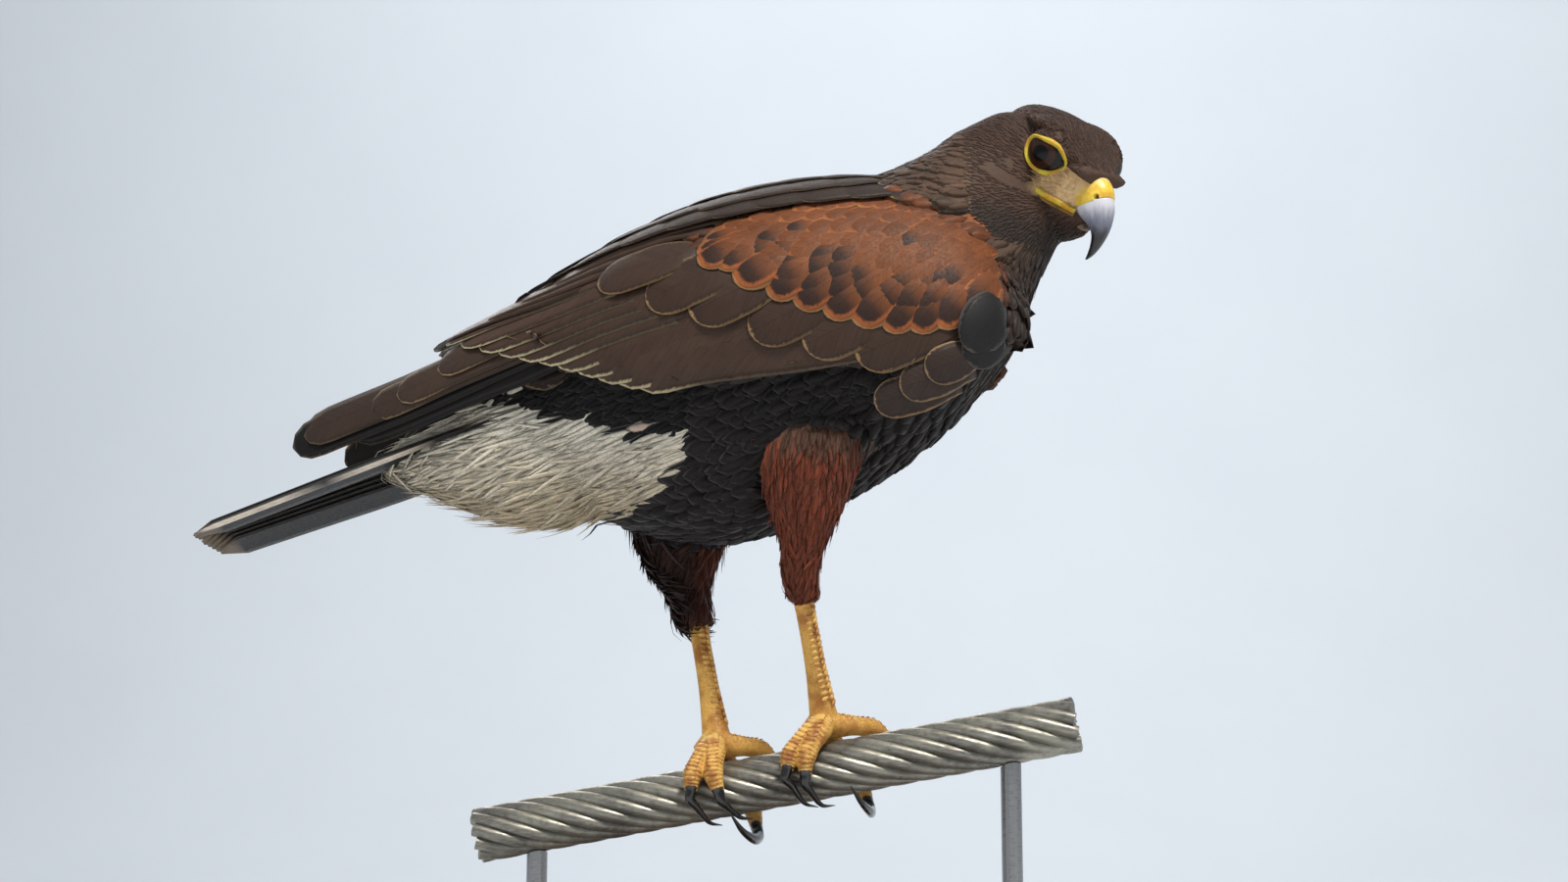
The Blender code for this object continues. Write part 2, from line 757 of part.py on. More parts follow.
# Thighs: a cone of feathers from the flank to the heel
THIGHS = {
    "right": (
        (0.0170, -0.0240, 0.2480, 0.0260, 0.0140),
        (0.0160, -0.0300, 0.2360, 0.0290, 0.0190),
        (0.0150, -0.0345, 0.2220, 0.0255, 0.0185),
        (0.0135, -0.0350, 0.2060, 0.0205, 0.0160),
        (0.0125, -0.0325, 0.1910, 0.0150, 0.0125),
        (0.0105, -0.0295, 0.1790, 0.0100, 0.0092),
        (0.0098, -0.0262, 0.1700, 0.0082, 0.0080),
        (0.0112, -0.0222, 0.1605, 0.0066, 0.0064),
    ),
    "left": (
        (-0.0430, 0.0240, 0.2420, 0.0280, 0.0140),
        (-0.0450, 0.0300, 0.2300, 0.0310, 0.0190),
        (-0.0480, 0.0340, 0.2160, 0.0290, 0.0185),
        (-0.0490, 0.0345, 0.2010, 0.0235, 0.0165),
        (-0.0480, 0.0320, 0.1860, 0.0175, 0.0130),
        (-0.0455, 0.0280, 0.1740, 0.0115, 0.0095),
        (-0.0436, 0.0245, 0.1650, 0.0088, 0.0080),
        (-0.0402, 0.0200, 0.1550, 0.0068, 0.0064),
    ),
}


THIGH_RINGS = 11
THIGH_SIDES = 14
# Each tier of thigh feathers: ring, count and length
THIGH_TIERS = ((4, 4, 0.026), (6, 4, 0.022))
SHAG_ROOT = 0.86
# The far thigh's feathers are longer behind and blown back
SHAG_BACK = {"right": 1.0, "left": 1.6}
SHAG_BLOWN = {"right": 0.0, "left": 0.22}


def make_thigh(which):
    side = FEET[which]["side"]
    rings = []
    rows = smooth_rows(THIGHS[which], THIGH_RINGS)
    for x, y, z, rx, ry in rows:
        angles = [2 * math.pi * i / THIGH_SIDES for i in range(THIGH_SIDES)]
        rings.append([(x + rx * math.cos(a), y + ry * math.sin(a), z) for a in angles])
    pieces = [loft("thigh_core", rings)]
    for tier, count, length in THIGH_TIERS:
        x, y, z, rx, ry = rows[tier]
        for i in range(count):
            a = math.radians(95 + 170 * (i + 0.5) / count)
            c, s = math.cos(a), math.sin(a) * -side
            root = (x + rx * SHAG_ROOT * c, y + ry * SHAG_ROOT * s, z)
            reach = length * (SHAG_BACK[which] if c < -0.45 else 1.0)
            way = (c * 0.30 - SHAG_BLOWN[which], s * 0.12, -1.0)
            pieces.append(lock("shag", root, way, (c, s, 0.15), reach, 0.0084, 0.0026, 0.10, 2))
    thigh = fused(f"thigh_{which}", pieces)
    hole = loft("hole", tarsus_rings(which, ANKLES[which], 2 * GAP, 0.012))
    cut(thigh, [body_solid("flank", GAP), hole])
    keep_largest(thigh)
    finish(thigh, SKIN[f"thigh_{which}"])


for which in ("right", "left"):
    make_thigh(which)


# Wings
# Each wing station: x, top, level of greatest width, half width
WING = (
    (0.109, 0.2930, 0.2740, 0.0320),
    (0.104, 0.3060, 0.2750, 0.0410),
    (0.093, 0.3230, 0.2765, 0.0510),
    (0.075, 0.3370, 0.2790, 0.0590),
    (0.045, 0.3470, 0.2810, 0.0625),
    (0.005, 0.3465, 0.2810, 0.0630),
    (-0.033, 0.3385, 0.2790, 0.0600),
    (-0.068, 0.3245, 0.2720, 0.0535),
    (-0.100, 0.3070, 0.2630, 0.0460),
    (-0.136, 0.2885, 0.2540, 0.0390),
    (-0.165, 0.2740, 0.2450, 0.0335),
    (-0.200, 0.2590, 0.2340, 0.0285),
    (-0.225, 0.2460, 0.2250, 0.0260),
)
WING_DROOP = 1.25
LEFT_WING_BACK = 0.012
# Lower edge of the folded wing: x, z
WING_EDGE = (
    (0.110, 0.262),
    (0.090, 0.255),
    (0.040, 0.2500),
    (0.0275, 0.2510),
    (-0.018, 0.2440),
    (-0.052, 0.2445),
    (-0.078, 0.2515),
    (-0.105, 0.2610),
    (-0.133, 0.2680),
    (-0.161, 0.2745),
)


def wing_at(x, angle, grow, side):
    top, level, wide = along(WING, x)
    c, s = math.cos(angle), math.sin(angle)
    high = (top - level) * (1.0 if c > 0 else WING_DROOP) + grow
    return np.array([x, side * (wide + grow) * s, level + high * c])


def wing_angle(x, z):
    top, level, wide = along(WING, x)
    part = (z - level) / (top - level) / (1.0 if z > level else WING_DROOP)
    return math.acos(max(-0.999, min(0.995, part)))


def wing_frame(x, angle, grow, side):
    """Point, outward normal and the two steps along the surface."""
    step = 1e-3
    p = wing_at(x, angle, grow, side)
    dx = (wing_at(x + step, angle, grow, side) - p) / step
    da = (wing_at(x, angle + step, grow, side) - p) / step
    n = unit(np.cross(dx, da))
    if n[1] * side < 0:
        n = -n
    return p, n, dx, da


def left_back(x):
    """How far back the left wing's front part is held, as it is hidden behind the breast."""
    return LEFT_WING_BACK * min(1.0, max(0.0, (x - 0.02) / 0.06))


def wing_vane(name, root, tip, half, lifts, side, tilt=0.0, stations=4):
    """A vane laid on the folded wing from root (x, z) to tip (x, z)."""
    places, widths = VANE_SHAPES[stations]
    if side > 0:
        root = (root[0] - left_back(root[0]), root[1])
        tip = (tip[0] - left_back(tip[0]), tip[1])
    a0, a1 = wing_angle(*root), wing_angle(*tip)
    middles, across, outward, halves, thicks = [], [], [], [], []
    for s, part in zip(places, widths):
        x = root[0] + (tip[0] - root[0]) * s
        a = a0 + (a1 - a0) * s
        grow = float(np.interp(s, (0, 0.16, 1), lifts))
        p, n, dx, da = wing_frame(x, a, grow, side)
        way = unit(dx * (tip[0] - root[0]) + da * (a1 - a0))
        b = unit(np.cross(n, way)) * -side
        b = unit(b + n * tilt)
        middles.append(p)
        across.append(b)
        outward.append(unit(np.cross(way, b)))
        halves.append(half * part)
        thicks.append(VANE_THICK * (1.0 - 0.35 * s))
    return vane(name, middles, across, outward, halves, thicks)


def wing_core(side):
    rings = []
    for x in np.linspace(0.1085, -0.118, 12):
        top, level, wide = along(WING, x)
        low = along(WING_EDGE, x)[0] + 0.006 + 0.004 * (x < -0.05)
        start, end = math.radians(24), wing_angle(x, low)
        inner = 0.010 if x < 0.10 else 0.006
        ring = [wing_at(x, start + (end - start) * i / 6, 0.0, side) for i in range(7)]
        ring += [wing_at(x, end - (end - start) * i / 2, -inner, side) for i in range(3)]
        if side > 0:
            ring = [p - np.array([left_back(x), 0, 0]) for p in ring]
        rings.append(ring)
    return loft("wing_core", rings)


# Feathers of the wing: how many of each kind, and half their width
PRIMARIES, PRIMARY_HALF = 4, 0.0098
SECONDARIES, SECONDARY_HALF = 7, 0.0118
GREATER_COVERTS, GREATER_HALF = 5, 0.0122
MEDIAN_COVERTS, MEDIAN_HALF = 5, 0.0115
WRIST_FEATHERS, WRIST_HALF = 2, 0.0078
SCAPULARS, SCAPULAR_HALF = 4, 0.0150
ALULA_HALF = 0.0108
LEFT_TIP_BACK = 0.011


def primary(i, side):
    """Stepped blades at the wing's point, the longest on top."""
    tip_x = -0.2165 + 0.0060 * i + 0.0020 * i * i + (LEFT_TIP_BACK if side > 0 else 0.0)
    tip = (tip_x, 0.2340 + 0.0066 * i)
    root = (-0.070 + 0.006 * i, 0.262 + 0.0035 * i)
    lift = -0.0006 - 0.0011 * i
    return wing_vane("primary", root, tip, PRIMARY_HALF, (-0.0045, lift, lift), side, 0.0, 5)


def secondary(i, side):
    """Broad blades with their tips along the wing's lower edge."""
    s = i / (SECONDARIES - 1)
    x = -0.162 + 0.178 * s**1.05
    tip = (x, along(WING_EDGE, x)[0] + 0.0050 + 0.0030 * s + 0.002 * (1 - s) * (i % 2))
    reach = 0.095 - 0.020 * s
    root = (tip[0] + reach, tip[1] + reach * math.tan(math.radians(13 + 6 * s)))
    return wing_vane("secondary", root, tip, SECONDARY_HALF, (-0.0030, 0.0006, 0.0012), side, -0.065)


def greater_covert(i, side):
    s = i / (GREATER_COVERTS - 1)
    tip = (-0.082 + 0.118 * s, 0.2935 - 0.0385 * s**0.85)
    reach = 0.042 - 0.006 * s
    root = (tip[0] + reach, tip[1] + reach * (0.30 + 0.35 * s))
    return wing_vane("greater", root, tip, GREATER_HALF, (-0.002, 0.0020, 0.0026), side, -0.07)


def median_covert(i, side):
    s = i / (MEDIAN_COVERTS - 1)
    tip = (-0.040 + 0.122 * s, 0.3070 - 0.034 * s)
    root = (tip[0] + 0.028 * (1 - 0.35 * s), tip[1] + 0.028 * (0.45 + 0.45 * s))
    return wing_vane("median", root, tip, MEDIAN_HALF, (-0.002, 0.0028, 0.0036), side, -0.06)


def wrist_feather(i, side):
    """Coverts of the primaries, fanned at the wrist."""
    tip, root = (0.0430 + 0.018 * i, 0.2462 + 0.0072 * i), (0.0920, 0.2680 + 0.002 * i)
    lifts = (-0.002, 0.0010 + 0.0011 * i, 0.0016 + 0.0011 * i)
    return wing_vane("wrist", root, tip, WRIST_HALF, lifts, side, -0.05)


def scapular(i, side):
    """Shoulder feathers over the wing's upper edge."""
    s = i / (SCAPULARS - 1)
    tip = (-0.118 + 0.128 * s, 0.2985 + 0.0400 * s**0.6)
    root = (tip[0] + 0.046, min(tip[1] + 0.046 * (0.42 - 0.36 * s), 0.3455))
    return wing_vane("scapular", root, tip, SCAPULAR_HALF, (-0.002, 0.0018, 0.0032), side, -0.05)


def make_wing(which):
    side = FEET[which]["side"]
    pieces = [wing_core(side)]
    pieces += [primary(i, side) for i in range(PRIMARIES)]
    pieces += [secondary(i, side) for i in range(SECONDARIES)]
    pieces += [greater_covert(i, side) for i in range(GREATER_COVERTS)]
    pieces += [median_covert(i, side) for i in range(MEDIAN_COVERTS)]
    pieces += [wrist_feather(i, side) for i in range(WRIST_FEATHERS)]
    # The thumb feathers, a dark pad on the wrist
    root, tip = (0.0995, 0.2800), (0.0830, 0.2590)
    pieces.append(wing_vane("alula", root, tip, ALULA_HALF, (-0.002, 0.0042, 0.0048), side))
    pieces += [scapular(i, side) for i in range(SCAPULARS)]
    wing = fused(f"wing_{which}", pieces)
    # Cut away whatever lies past the bird's middle, and leave room for the body
    low, high = (-0.3, -0.102, 0.1), (0.2, 0.002, 0.5)
    if side < 0:
        low, high = (-0.3, -0.002, 0.1), (0.2, 0.102, 0.5)
    cut(wing, [body_solid("flank", GAP), box("past_middle", low, high)])
    keep_largest(wing)
    finish(wing, SKIN[f"wing_{which}"])


for which in ("right", "left"):
    make_wing(which)


# Tail
tail_way = np.array([-math.cos(TAIL_DROP), 0.0, -math.sin(TAIL_DROP)])
tail_flat = np.array([0.0, -math.cos(TAIL_ROLL), math.sin(TAIL_ROLL)])
tail_up = unit(np.cross(tail_way, tail_flat))
if tail_up[2] < 0:
    tail_up = -tail_up
tail_side = unit(np.cross(tail_up, tail_way))
if tail_side[1] > 0:
    tail_side = -tail_side


def on_tail(s, a, u):
    """s down the tail, a to the bird's right, u up from its middle."""
    return np.array(TAIL_ROOT) + tail_way * s + tail_side * a + tail_up * u


def rectrix(pair, side):
    """One tail feather, a flat blade; the fan lies in two slanting halves."""
    level = -0.0005 - TAIL_STEP * pair - (0.0 if side == 1 else 0.0004)
    if pair == 0 and side == -1:
        level = 0.0006
    stations = 4
    middles, halves = [], []
    for k in range(stations):
        s = k / (stations - 1)
        length = TAIL_START + (TAIL_LENGTH - 0.0012 * pair - TAIL_START) * s
        a = side * (0.0035 + 0.0035 * pair) * (1 - TAIL_CLOSING[side] * s)
        dip = -0.0022 * (abs(a) / 0.02) ** 2
        middles.append(on_tail(length, a, level + dip))
        halves.append(RECTRIX_HALF * min(1, 0.62 + 0.9 * s) * (0.42 if k == stations - 1 else 1.0))
    edge = unit(tail_side + tail_up * (-0.05 * side))
    over = unit(np.cross(edge, tail_way))
    if over[2] < 0:
        over = -over
    return vane("rectrix", middles, [edge] * stations, [over] * stations, halves, [0.0008] * stations)


def make_tail():
    rings = []
    for s, half, high, low in TAIL_CORE:
        rings.append(ellipse_ring(on_tail(s, 0, 0), tail_side, tail_up, half, high, low, 16, 2.1))
    pieces = [loft("tail_core", rings)]
    pieces += [rectrix(pair, side) for pair in range(TAIL_PAIRS) for side in (-1, 1)]
    # White feathers under the tail
    rows = ((0.012, 5, 0.034), (0.036, 5, 0.036), (0.060, 5, 0.034))
    for row, (s, count, length) in enumerate(rows):
        half, _, low = along(TAIL_CORE, s)
        for i in range(count):
            a = math.radians(-80 + 160 * (i + 0.5) / count)
            sa, ca = math.sin(a), math.cos(a)
            root = on_tail(s, half * 0.85 * sa, -low * 0.85 * ca)
            out = tail_side * sa - tail_up * ca
            way = tail_way + out * (0.16 - 0.16 * row) + np.array([0, 0, -0.04])
            reach = length * (0.85 + 0.3 * random.random())
            pieces.append(lock("undertail", root, way, out, reach, 0.0080, 0.0028, 0.12, 2))
    # Feathers over the tail's root
    for i in range(3):
        a = (i - 1) * 0.011
        root = on_tail(0.022, a, 0.005 - abs(a) * 0.12)
        pieces.append(lock("uppertail", root, tail_way + tail_up * 0.02, tail_up, 0.070, 0.0090, 0.0020, 0.05))
    tail = fused("tail", pieces)
    cut(tail, [body_solid("rump", GAP)])
    keep_largest(tail)
    finish(tail, SKIN["tail"])


make_tail()


# Head, bill and eyes
def arc_loft(name, rows, count):
    """Rings between a culmen point and an under point, both (ahead, up), with half width."""
    rings = []
    for ta, tu, ba, bu, half in rows:
        top, bottom = on_head(ta, tu, 0), on_head(ba, bu, 0)
        up = unit(top - bottom)
        high = np.linalg.norm(top - bottom) / 2
        middle = (top + bottom) / 2
        rings.append(ellipse_ring(middle, HEAD_RIGHT, up, half, high, high, count, 2.2, BILL_FLARE))
    return loft(name, rings)


CERE_ROWS = (
    (0.0225, 0.0070, 0.0210, -0.0104, 0.0088),
    (0.0285, 0.0064, 0.0245, -0.0112, 0.0086),
    (0.0338, 0.0050, 0.0275, -0.0118, 0.0082),
    (0.0376, 0.0028, 0.0294, -0.0124, 0.0077),
    (0.0398, -0.0002, 0.0298, -0.0128, 0.0072),
)
BILL_ROWS = (
    (0.0402, -0.0006, 0.0272, -0.0134, 0.0074),
    (0.0430, -0.0040, 0.0312, -0.0144, 0.0069),
    (0.0448, -0.0084, 0.0352, -0.0154, 0.0058),
    (0.0457, -0.0126, 0.0388, -0.0166, 0.0047),
    (0.0458, -0.0170, 0.0410, -0.0192, 0.0036),
    (0.0452, -0.0215, 0.0418, -0.0232, 0.0026),
    (0.0438, -0.0260, 0.0415, -0.0266, 0.0016),
    (0.0416, -0.0295, 0.0408, -0.0297, 0.0005),
)
LOWER_ROWS = (
    (0.0170, -0.0138, 0.0170, -0.0192, 0.0080),
    (0.0230, -0.0142, 0.0228, -0.0196, 0.0068),
    (0.0280, -0.0150, 0.0278, -0.0198, 0.0052),
    (0.0320, -0.0160, 0.0318, -0.0196, 0.0036),
    (0.0345, -0.0172, 0.0344, -0.0188, 0.0016),
)


def grown(rows, grow):
    made = []
    for k, (ta, tu, ba, bu, half) in enumerate(rows):
        way = unit((ta - ba, tu - bu))
        along_way = (way[1], -way[0])
        push = grow if k == len(rows) - 1 else -grow if k == 0 else 0
        made.append(
            (
                ta + way[0] * grow + along_way[0] * push,
                tu + way[1] * grow + along_way[1] * push,
                ba - way[0] * grow + along_way[0] * push,
                bu - way[1] * grow + along_way[1] * push,
                half + grow,
            )
        )
    return made


def eye_opening(middle, look):
    """A cone from the eye's middle that parts the lids, longer than it is high."""
    level = unit(np.cross(look, HEAD_UP))
    rise = np.cross(level, look)
    rings = []
    for reach in OPENING_REACH:
        ring = []
        for i in range(LID_STEPS):
            a = 2 * math.pi * i / LID_STEPS
            wide = 1 / math.hypot(math.cos(a - LID_TILT) / LID_LONG, math.sin(a - LID_TILT) / LID_SHORT)
            deep = math.sqrt(EYE_RADIUS**2 - wide**2)
            out = (level * math.cos(a) + rise * math.sin(a)) * wide + look * deep
            ring.append(middle + out * reach)
        rings.append(ring)
    return loft("opening", rings)


def make_head_and_body():
    whole = body_solid("whole", 0.0)
    skull = head_solid("skull")
    extras = [skull, brow_shelf()]
    for side in (1, -1):
        eye_middle = on_head(*EYE_PLACE, EYE_OUT[side] * side)
        look = unit(HEAD_AHEAD * EYE_LOOK[0] + HEAD_UP * EYE_LOOK[1] + HEAD_RIGHT * EYE_LOOK[2] * side)
        extras.append(ball("lids", eye_middle, EYE_RADIUS + LID_THICK, (13, 9), look))
        gape = [
            beside_head(0.0010, -0.0070, -0.0008, side),
            beside_head(0.0090, -0.0092, 0.0002, side),
            beside_head(0.0170, -0.0108, 0.0004, side),
            beside_head(0.0240, -0.0116, 0.0006, side),
            on_head(0.0285, -0.0118, 0.0090 * side),
        ]
        extras.append(tube("gape", gape, [0.0008, 0.0019, 0.0019, 0.0017, 0.0010], 5))
    whole = fused("head", [whole] + extras)
    cutters = []
    for side in (1, -1):
        eye_middle = on_head(*EYE_PLACE, EYE_OUT[side] * side)
        look = unit(HEAD_AHEAD * EYE_LOOK[0] + HEAD_UP * EYE_LOOK[1] + HEAD_RIGHT * EYE_LOOK[2] * side)
        cutters.append(eye_opening(eye_middle, look))
        cutters.append(ball("socket", eye_middle, EYE_RADIUS + 2 * GAP, (12, 8), look))
        mouth = [
            beside_head(0.0040, -0.0098, 0.0004, side),
            beside_head(0.0120, -0.0120, 0.0004, side),
            beside_head(0.0200, -0.0136, 0.0004, side),
            beside_head(0.0280, -0.0142, 0.0008, side),
        ]
        cutters.append(tube("mouth", mouth, [0.0009] * 4, 4, up=tuple(HEAD_UP)))
    cutters.append(arc_loft("cere_room", grown(CERE_ROWS, GAP), 16))
    cutters.append(arc_loft("lower_room", grown(LOWER_ROWS, GAP), 12))
    cutters.append(arc_loft("upper_room", grown(BILL_ROWS, GAP), 14))
    cut(whole, cutters)
    keep_largest(whole)
    # Part head, neck and torso with two thin cuts
    cut(
        whole,
        [
            plate("part_head", (0.1010, 0.0, 0.3520), (0.86, -0.20, 0.50), GAP, 0.08),
            plate("part_neck", (0.0830, 0.0, 0.3240), (0.62, 0.0, 0.78), GAP, 0.10),
        ],
    )
    split_body(whole)


def split_body(whole):
    bm = bmesh.new()
    bm.from_mesh(whole.data)
    bmesh.ops.triangulate(bm, faces=bm.faces)
    left = set(bm.verts)
    groups = []
    while left:
        seed = left.pop()
        group, stack = [seed], [seed]
        while stack:
            for edge in stack.pop().link_edges:
                for vert in edge.verts:
                    if vert in left:
                        left.discard(vert)
                        group.append(vert)
                        stack.append(vert)
        groups.append(group)
    groups.sort(key=len, reverse=True)
    groups = groups[:3]
    groups.sort(key=lambda g: sum(v.co.z for v in g) / len(g), reverse=True)
    for name, group in zip(("head", "neck", "torso"), groups):
        index = {v: i for i, v in enumerate(group)}
        faces = {f for v in group for f in v.link_faces}
        corners = [tuple(index[v] for v in f.verts) for f in faces]
        obj = solid(name + "_new", [tuple(v.co) for v in group], corners)
        finish(obj, SKIN[name], name == "head")
        if name == "torso":
            add_vent(obj)
    bm.free()
    bpy.data.objects.remove(whole, do_unlink=True)
    for name in ("head", "neck", "torso"):
        bpy.data.objects[name + "_new"].name = name


def add_vent(torso):
    """Shaggy feathers of the belly and vent, behind and between the legs."""
    pieces = [torso]
    rows = smooth_rows(BODY, BODY_RINGS)
    for ring, count, length in ((4, 3, 0.024), (6, 3, 0.022)):
        xt, zt, xb, zb, half = rows[ring]
        for i in range(count):
            a = math.radians(-22 + 44 * (i + 0.5) / count)
            mid, low = (zt + zb) / 2, (zt - zb) / 2
            x = xb + (xt - xb) * (1 - math.cos(a)) / 2
            root = (x, half * 0.9 * math.sin(a), mid - low * 0.92 * math.cos(a))
            out = (0.0, math.sin(a), -math.cos(a))
            way = (-1.0, 0.10 * math.sin(a), -0.22)
            pieces.append(lock("vent", root, way, out, length, 0.0078, 0.0026, -0.05, 2))
    finish(fused(torso.name, pieces), SKIN["torso"])


make_head_and_body()

cere = arc_loft("cere", CERE_ROWS, 16)
nostril_cuts = []
for side in (1, -1):
    nostril_cuts.append(ball("nostril", on_head(0.0345, -0.0040, 0.0078 * side), 0.0018, (8, 6), HEAD_RIGHT))
cut(cere, nostril_cuts + [arc_loft("bill_room", grown(BILL_ROWS, GAP), 14)])
keep_largest(cere)
finish(cere, material("cere_yellow", (0.90, 0.62, 0.10), 0.4), True)
upper = arc_loft("bill_upper", BILL_ROWS, 14)
finish(upper, material("bill_horn", (0.30, 0.31, 0.36), 0.3), True)
lower = arc_loft("bill_lower", LOWER_ROWS, 12)
upper_room = arc_loft("upper_room", grown(BILL_ROWS, GAP), 14)
cere_room = arc_loft("cere_room", grown(CERE_ROWS, GAP), 16)
cut(lower, [upper_room, cere_room])
keep_largest(lower)
finish(lower, material("bill_lower_horn", (0.25, 0.24, 0.27), 0.35), True)
for which, side in (("right", 1), ("left", -1)):
    look = unit(HEAD_AHEAD * EYE_LOOK[0] + HEAD_UP * EYE_LOOK[1] + HEAD_RIGHT * EYE_LOOK[2] * side)
    middle = on_head(*EYE_PLACE, EYE_OUT[side] * side)
    eye = ball(f"eye_{which}", middle, EYE_RADIUS, EYE_SEGMENTS, look)
    finish(eye, material(f"eye_brown_{which}", (0.05, 0.018, 0.010), 0.05), True)
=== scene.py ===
# %% [markdown]
# # A Harris hawk on a cable perch
# The real thing is a brown, rufous and white hawk, about 47 cm long along the back, with yellow legs,
# gripping a thick twisted steel cable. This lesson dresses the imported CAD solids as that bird: one skin under
# everything, then feathers as thin solid vanes laid in the order in which they grow.
# Everything is in metres and in the CAD model's own frame, so nothing has to be fitted by eye.

# %% Load the fixed frame
import json
import math

import bmesh
import bpy
import numpy as np
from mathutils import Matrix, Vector
from mathutils.bvhtree import BVHTree

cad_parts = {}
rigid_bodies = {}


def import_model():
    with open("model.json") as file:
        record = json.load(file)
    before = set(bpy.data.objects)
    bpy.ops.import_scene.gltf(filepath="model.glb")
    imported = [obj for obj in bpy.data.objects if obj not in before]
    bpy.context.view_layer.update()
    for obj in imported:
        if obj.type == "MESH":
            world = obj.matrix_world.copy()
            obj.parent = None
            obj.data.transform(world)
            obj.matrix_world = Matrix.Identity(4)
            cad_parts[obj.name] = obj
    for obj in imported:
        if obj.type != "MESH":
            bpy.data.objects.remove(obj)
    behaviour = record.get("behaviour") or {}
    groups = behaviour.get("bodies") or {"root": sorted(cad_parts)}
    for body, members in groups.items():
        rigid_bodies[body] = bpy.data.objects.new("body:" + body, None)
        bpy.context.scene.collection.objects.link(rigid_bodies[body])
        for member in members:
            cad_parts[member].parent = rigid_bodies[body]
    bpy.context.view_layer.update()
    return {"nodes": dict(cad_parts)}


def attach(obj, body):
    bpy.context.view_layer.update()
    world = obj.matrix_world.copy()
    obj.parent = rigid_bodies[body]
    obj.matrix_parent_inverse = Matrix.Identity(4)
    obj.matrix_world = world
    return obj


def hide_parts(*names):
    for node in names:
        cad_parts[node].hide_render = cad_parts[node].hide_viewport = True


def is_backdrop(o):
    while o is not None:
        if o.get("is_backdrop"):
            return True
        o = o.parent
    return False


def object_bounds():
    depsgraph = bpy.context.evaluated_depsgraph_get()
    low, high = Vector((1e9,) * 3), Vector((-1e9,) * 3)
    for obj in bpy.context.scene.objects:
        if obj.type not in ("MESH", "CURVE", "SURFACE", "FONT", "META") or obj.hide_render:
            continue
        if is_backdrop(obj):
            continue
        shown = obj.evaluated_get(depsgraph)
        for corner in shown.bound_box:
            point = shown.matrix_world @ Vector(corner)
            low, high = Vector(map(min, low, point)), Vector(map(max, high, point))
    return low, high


for thing in list(bpy.data.objects):
    bpy.data.objects.remove(thing, do_unlink=True)
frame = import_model()
rng = np.random.default_rng(29)

# %% [markdown]
# ## Camera
# The photograph was taken from slightly below, with the bird's right side turned to the lens. The scale is
# 2.3 pixels to the millimetre at the bird's middle, and a lens of moderate length keeps the perspective flat.

# %% Camera
TARGET = np.array([0.0, 0.0, 0.235])
CAMERA_TURN, CAMERA_RISE, CAMERA_REACH = math.radians(6.0), math.radians(-10.5), 1.15
SENSOR_WIDTH, FOCAL_LENGTH = 36.0, 59.5125  # in millimetres, as a lens is sold
NEAREST = 0.05
level = math.cos(CAMERA_RISE)
camera_back = np.array([math.sin(CAMERA_TURN) * level, -math.cos(CAMERA_TURN) * level, math.sin(CAMERA_RISE)])
lens = bpy.data.cameras.new("view")
lens.sensor_width, lens.lens, lens.clip_start = SENSOR_WIDTH, FOCAL_LENGTH, NEAREST
camera = bpy.data.objects.new("view", lens)
bpy.context.scene.collection.objects.link(camera)
camera.location = TARGET + camera_back * CAMERA_REACH
camera.rotation_mode = "QUATERNION"
camera.rotation_quaternion = Vector(-camera_back).to_track_quat("-Z", "Y")
bpy.context.scene.camera = camera
print("camera at", [round(v, 3) for v in camera.location])

# %% [markdown]
# ## Small helpers for shapes
# Meshes are made from arrays, because a coat has tens of thousands of faces. A loft joins rings of equal
# length and closes both ends, and `smooth_rows` puts evenly spread rows between the few that are measured.


# %% Shape helpers
def unit(v):
    v = np.array(v, float)
    return v / np.linalg.norm(v)


def units(v):
    return v / np.maximum(np.linalg.norm(v, axis=-1, keepdims=True), 1e-12)


def smoothstep(low, high, x):
    t = np.clip((x - low) / (high - low), 0, 1)
    return t * t * (3 - 2 * t)


def mesh_object(name, verts, faces, smooth=True):
    """A mesh object from an array of points and arrays of faces of one size each."""
    verts = np.asarray(verts, np.float32).reshape(-1, 3)
    groups = [np.asarray(f, np.int32) for f in faces if len(f)]
    index = np.concatenate([g.ravel() for g in groups])
    sizes = np.concatenate([np.full(len(g), g.shape[1], np.int32) for g in groups])
    mesh = bpy.data.meshes.new(name)
    mesh.vertices.add(len(verts))
    mesh.vertices.foreach_set("co", verts.ravel())
    mesh.loops.add(len(index))
    mesh.loops.foreach_set("vertex_index", index)
    mesh.polygons.add(len(sizes))
    mesh.polygons.foreach_set("loop_start", np.concatenate([[0], np.cumsum(sizes)[:-1]]).astype(np.int32))
    mesh.polygons.foreach_set("use_smooth", np.full(len(sizes), smooth))
    mesh.update(calc_edges=True)
    mesh.validate()
    obj = bpy.data.objects.new(name, mesh)
    bpy.context.scene.collection.objects.link(obj)
    return obj


def turned_out(obj):
    """Turns every closed surface's faces outwards."""
    bm = bmesh.new()
    bm.from_mesh(obj.data)
    bmesh.ops.recalc_face_normals(bm, faces=bm.faces)
    bm.to_mesh(obj.data)
    bm.free()
    return obj


def smooth_rows(rows, count):
    """Catmull-Rom rows between the given ones, evenly spread."""
    rows = np.array(rows, float)
    ext = np.vstack([2 * rows[0] - rows[1], rows, 2 * rows[-1] - rows[-2]])
    out = []
    for u in np.linspace(0, len(rows) - 1, count):
        k = min(int(u), len(rows) - 2)
        t = u - k
        p0, p1, p2, p3 = ext[k : k + 4]
        bend = (2 * p0 - 5 * p1 + 4 * p2 - p3) * t * t + (3 * p1 - p0 - 3 * p2 + p3) * t**3
        out.append(0.5 * (2 * p1 + (p2 - p0) * t + bend))
    return np.array(out)


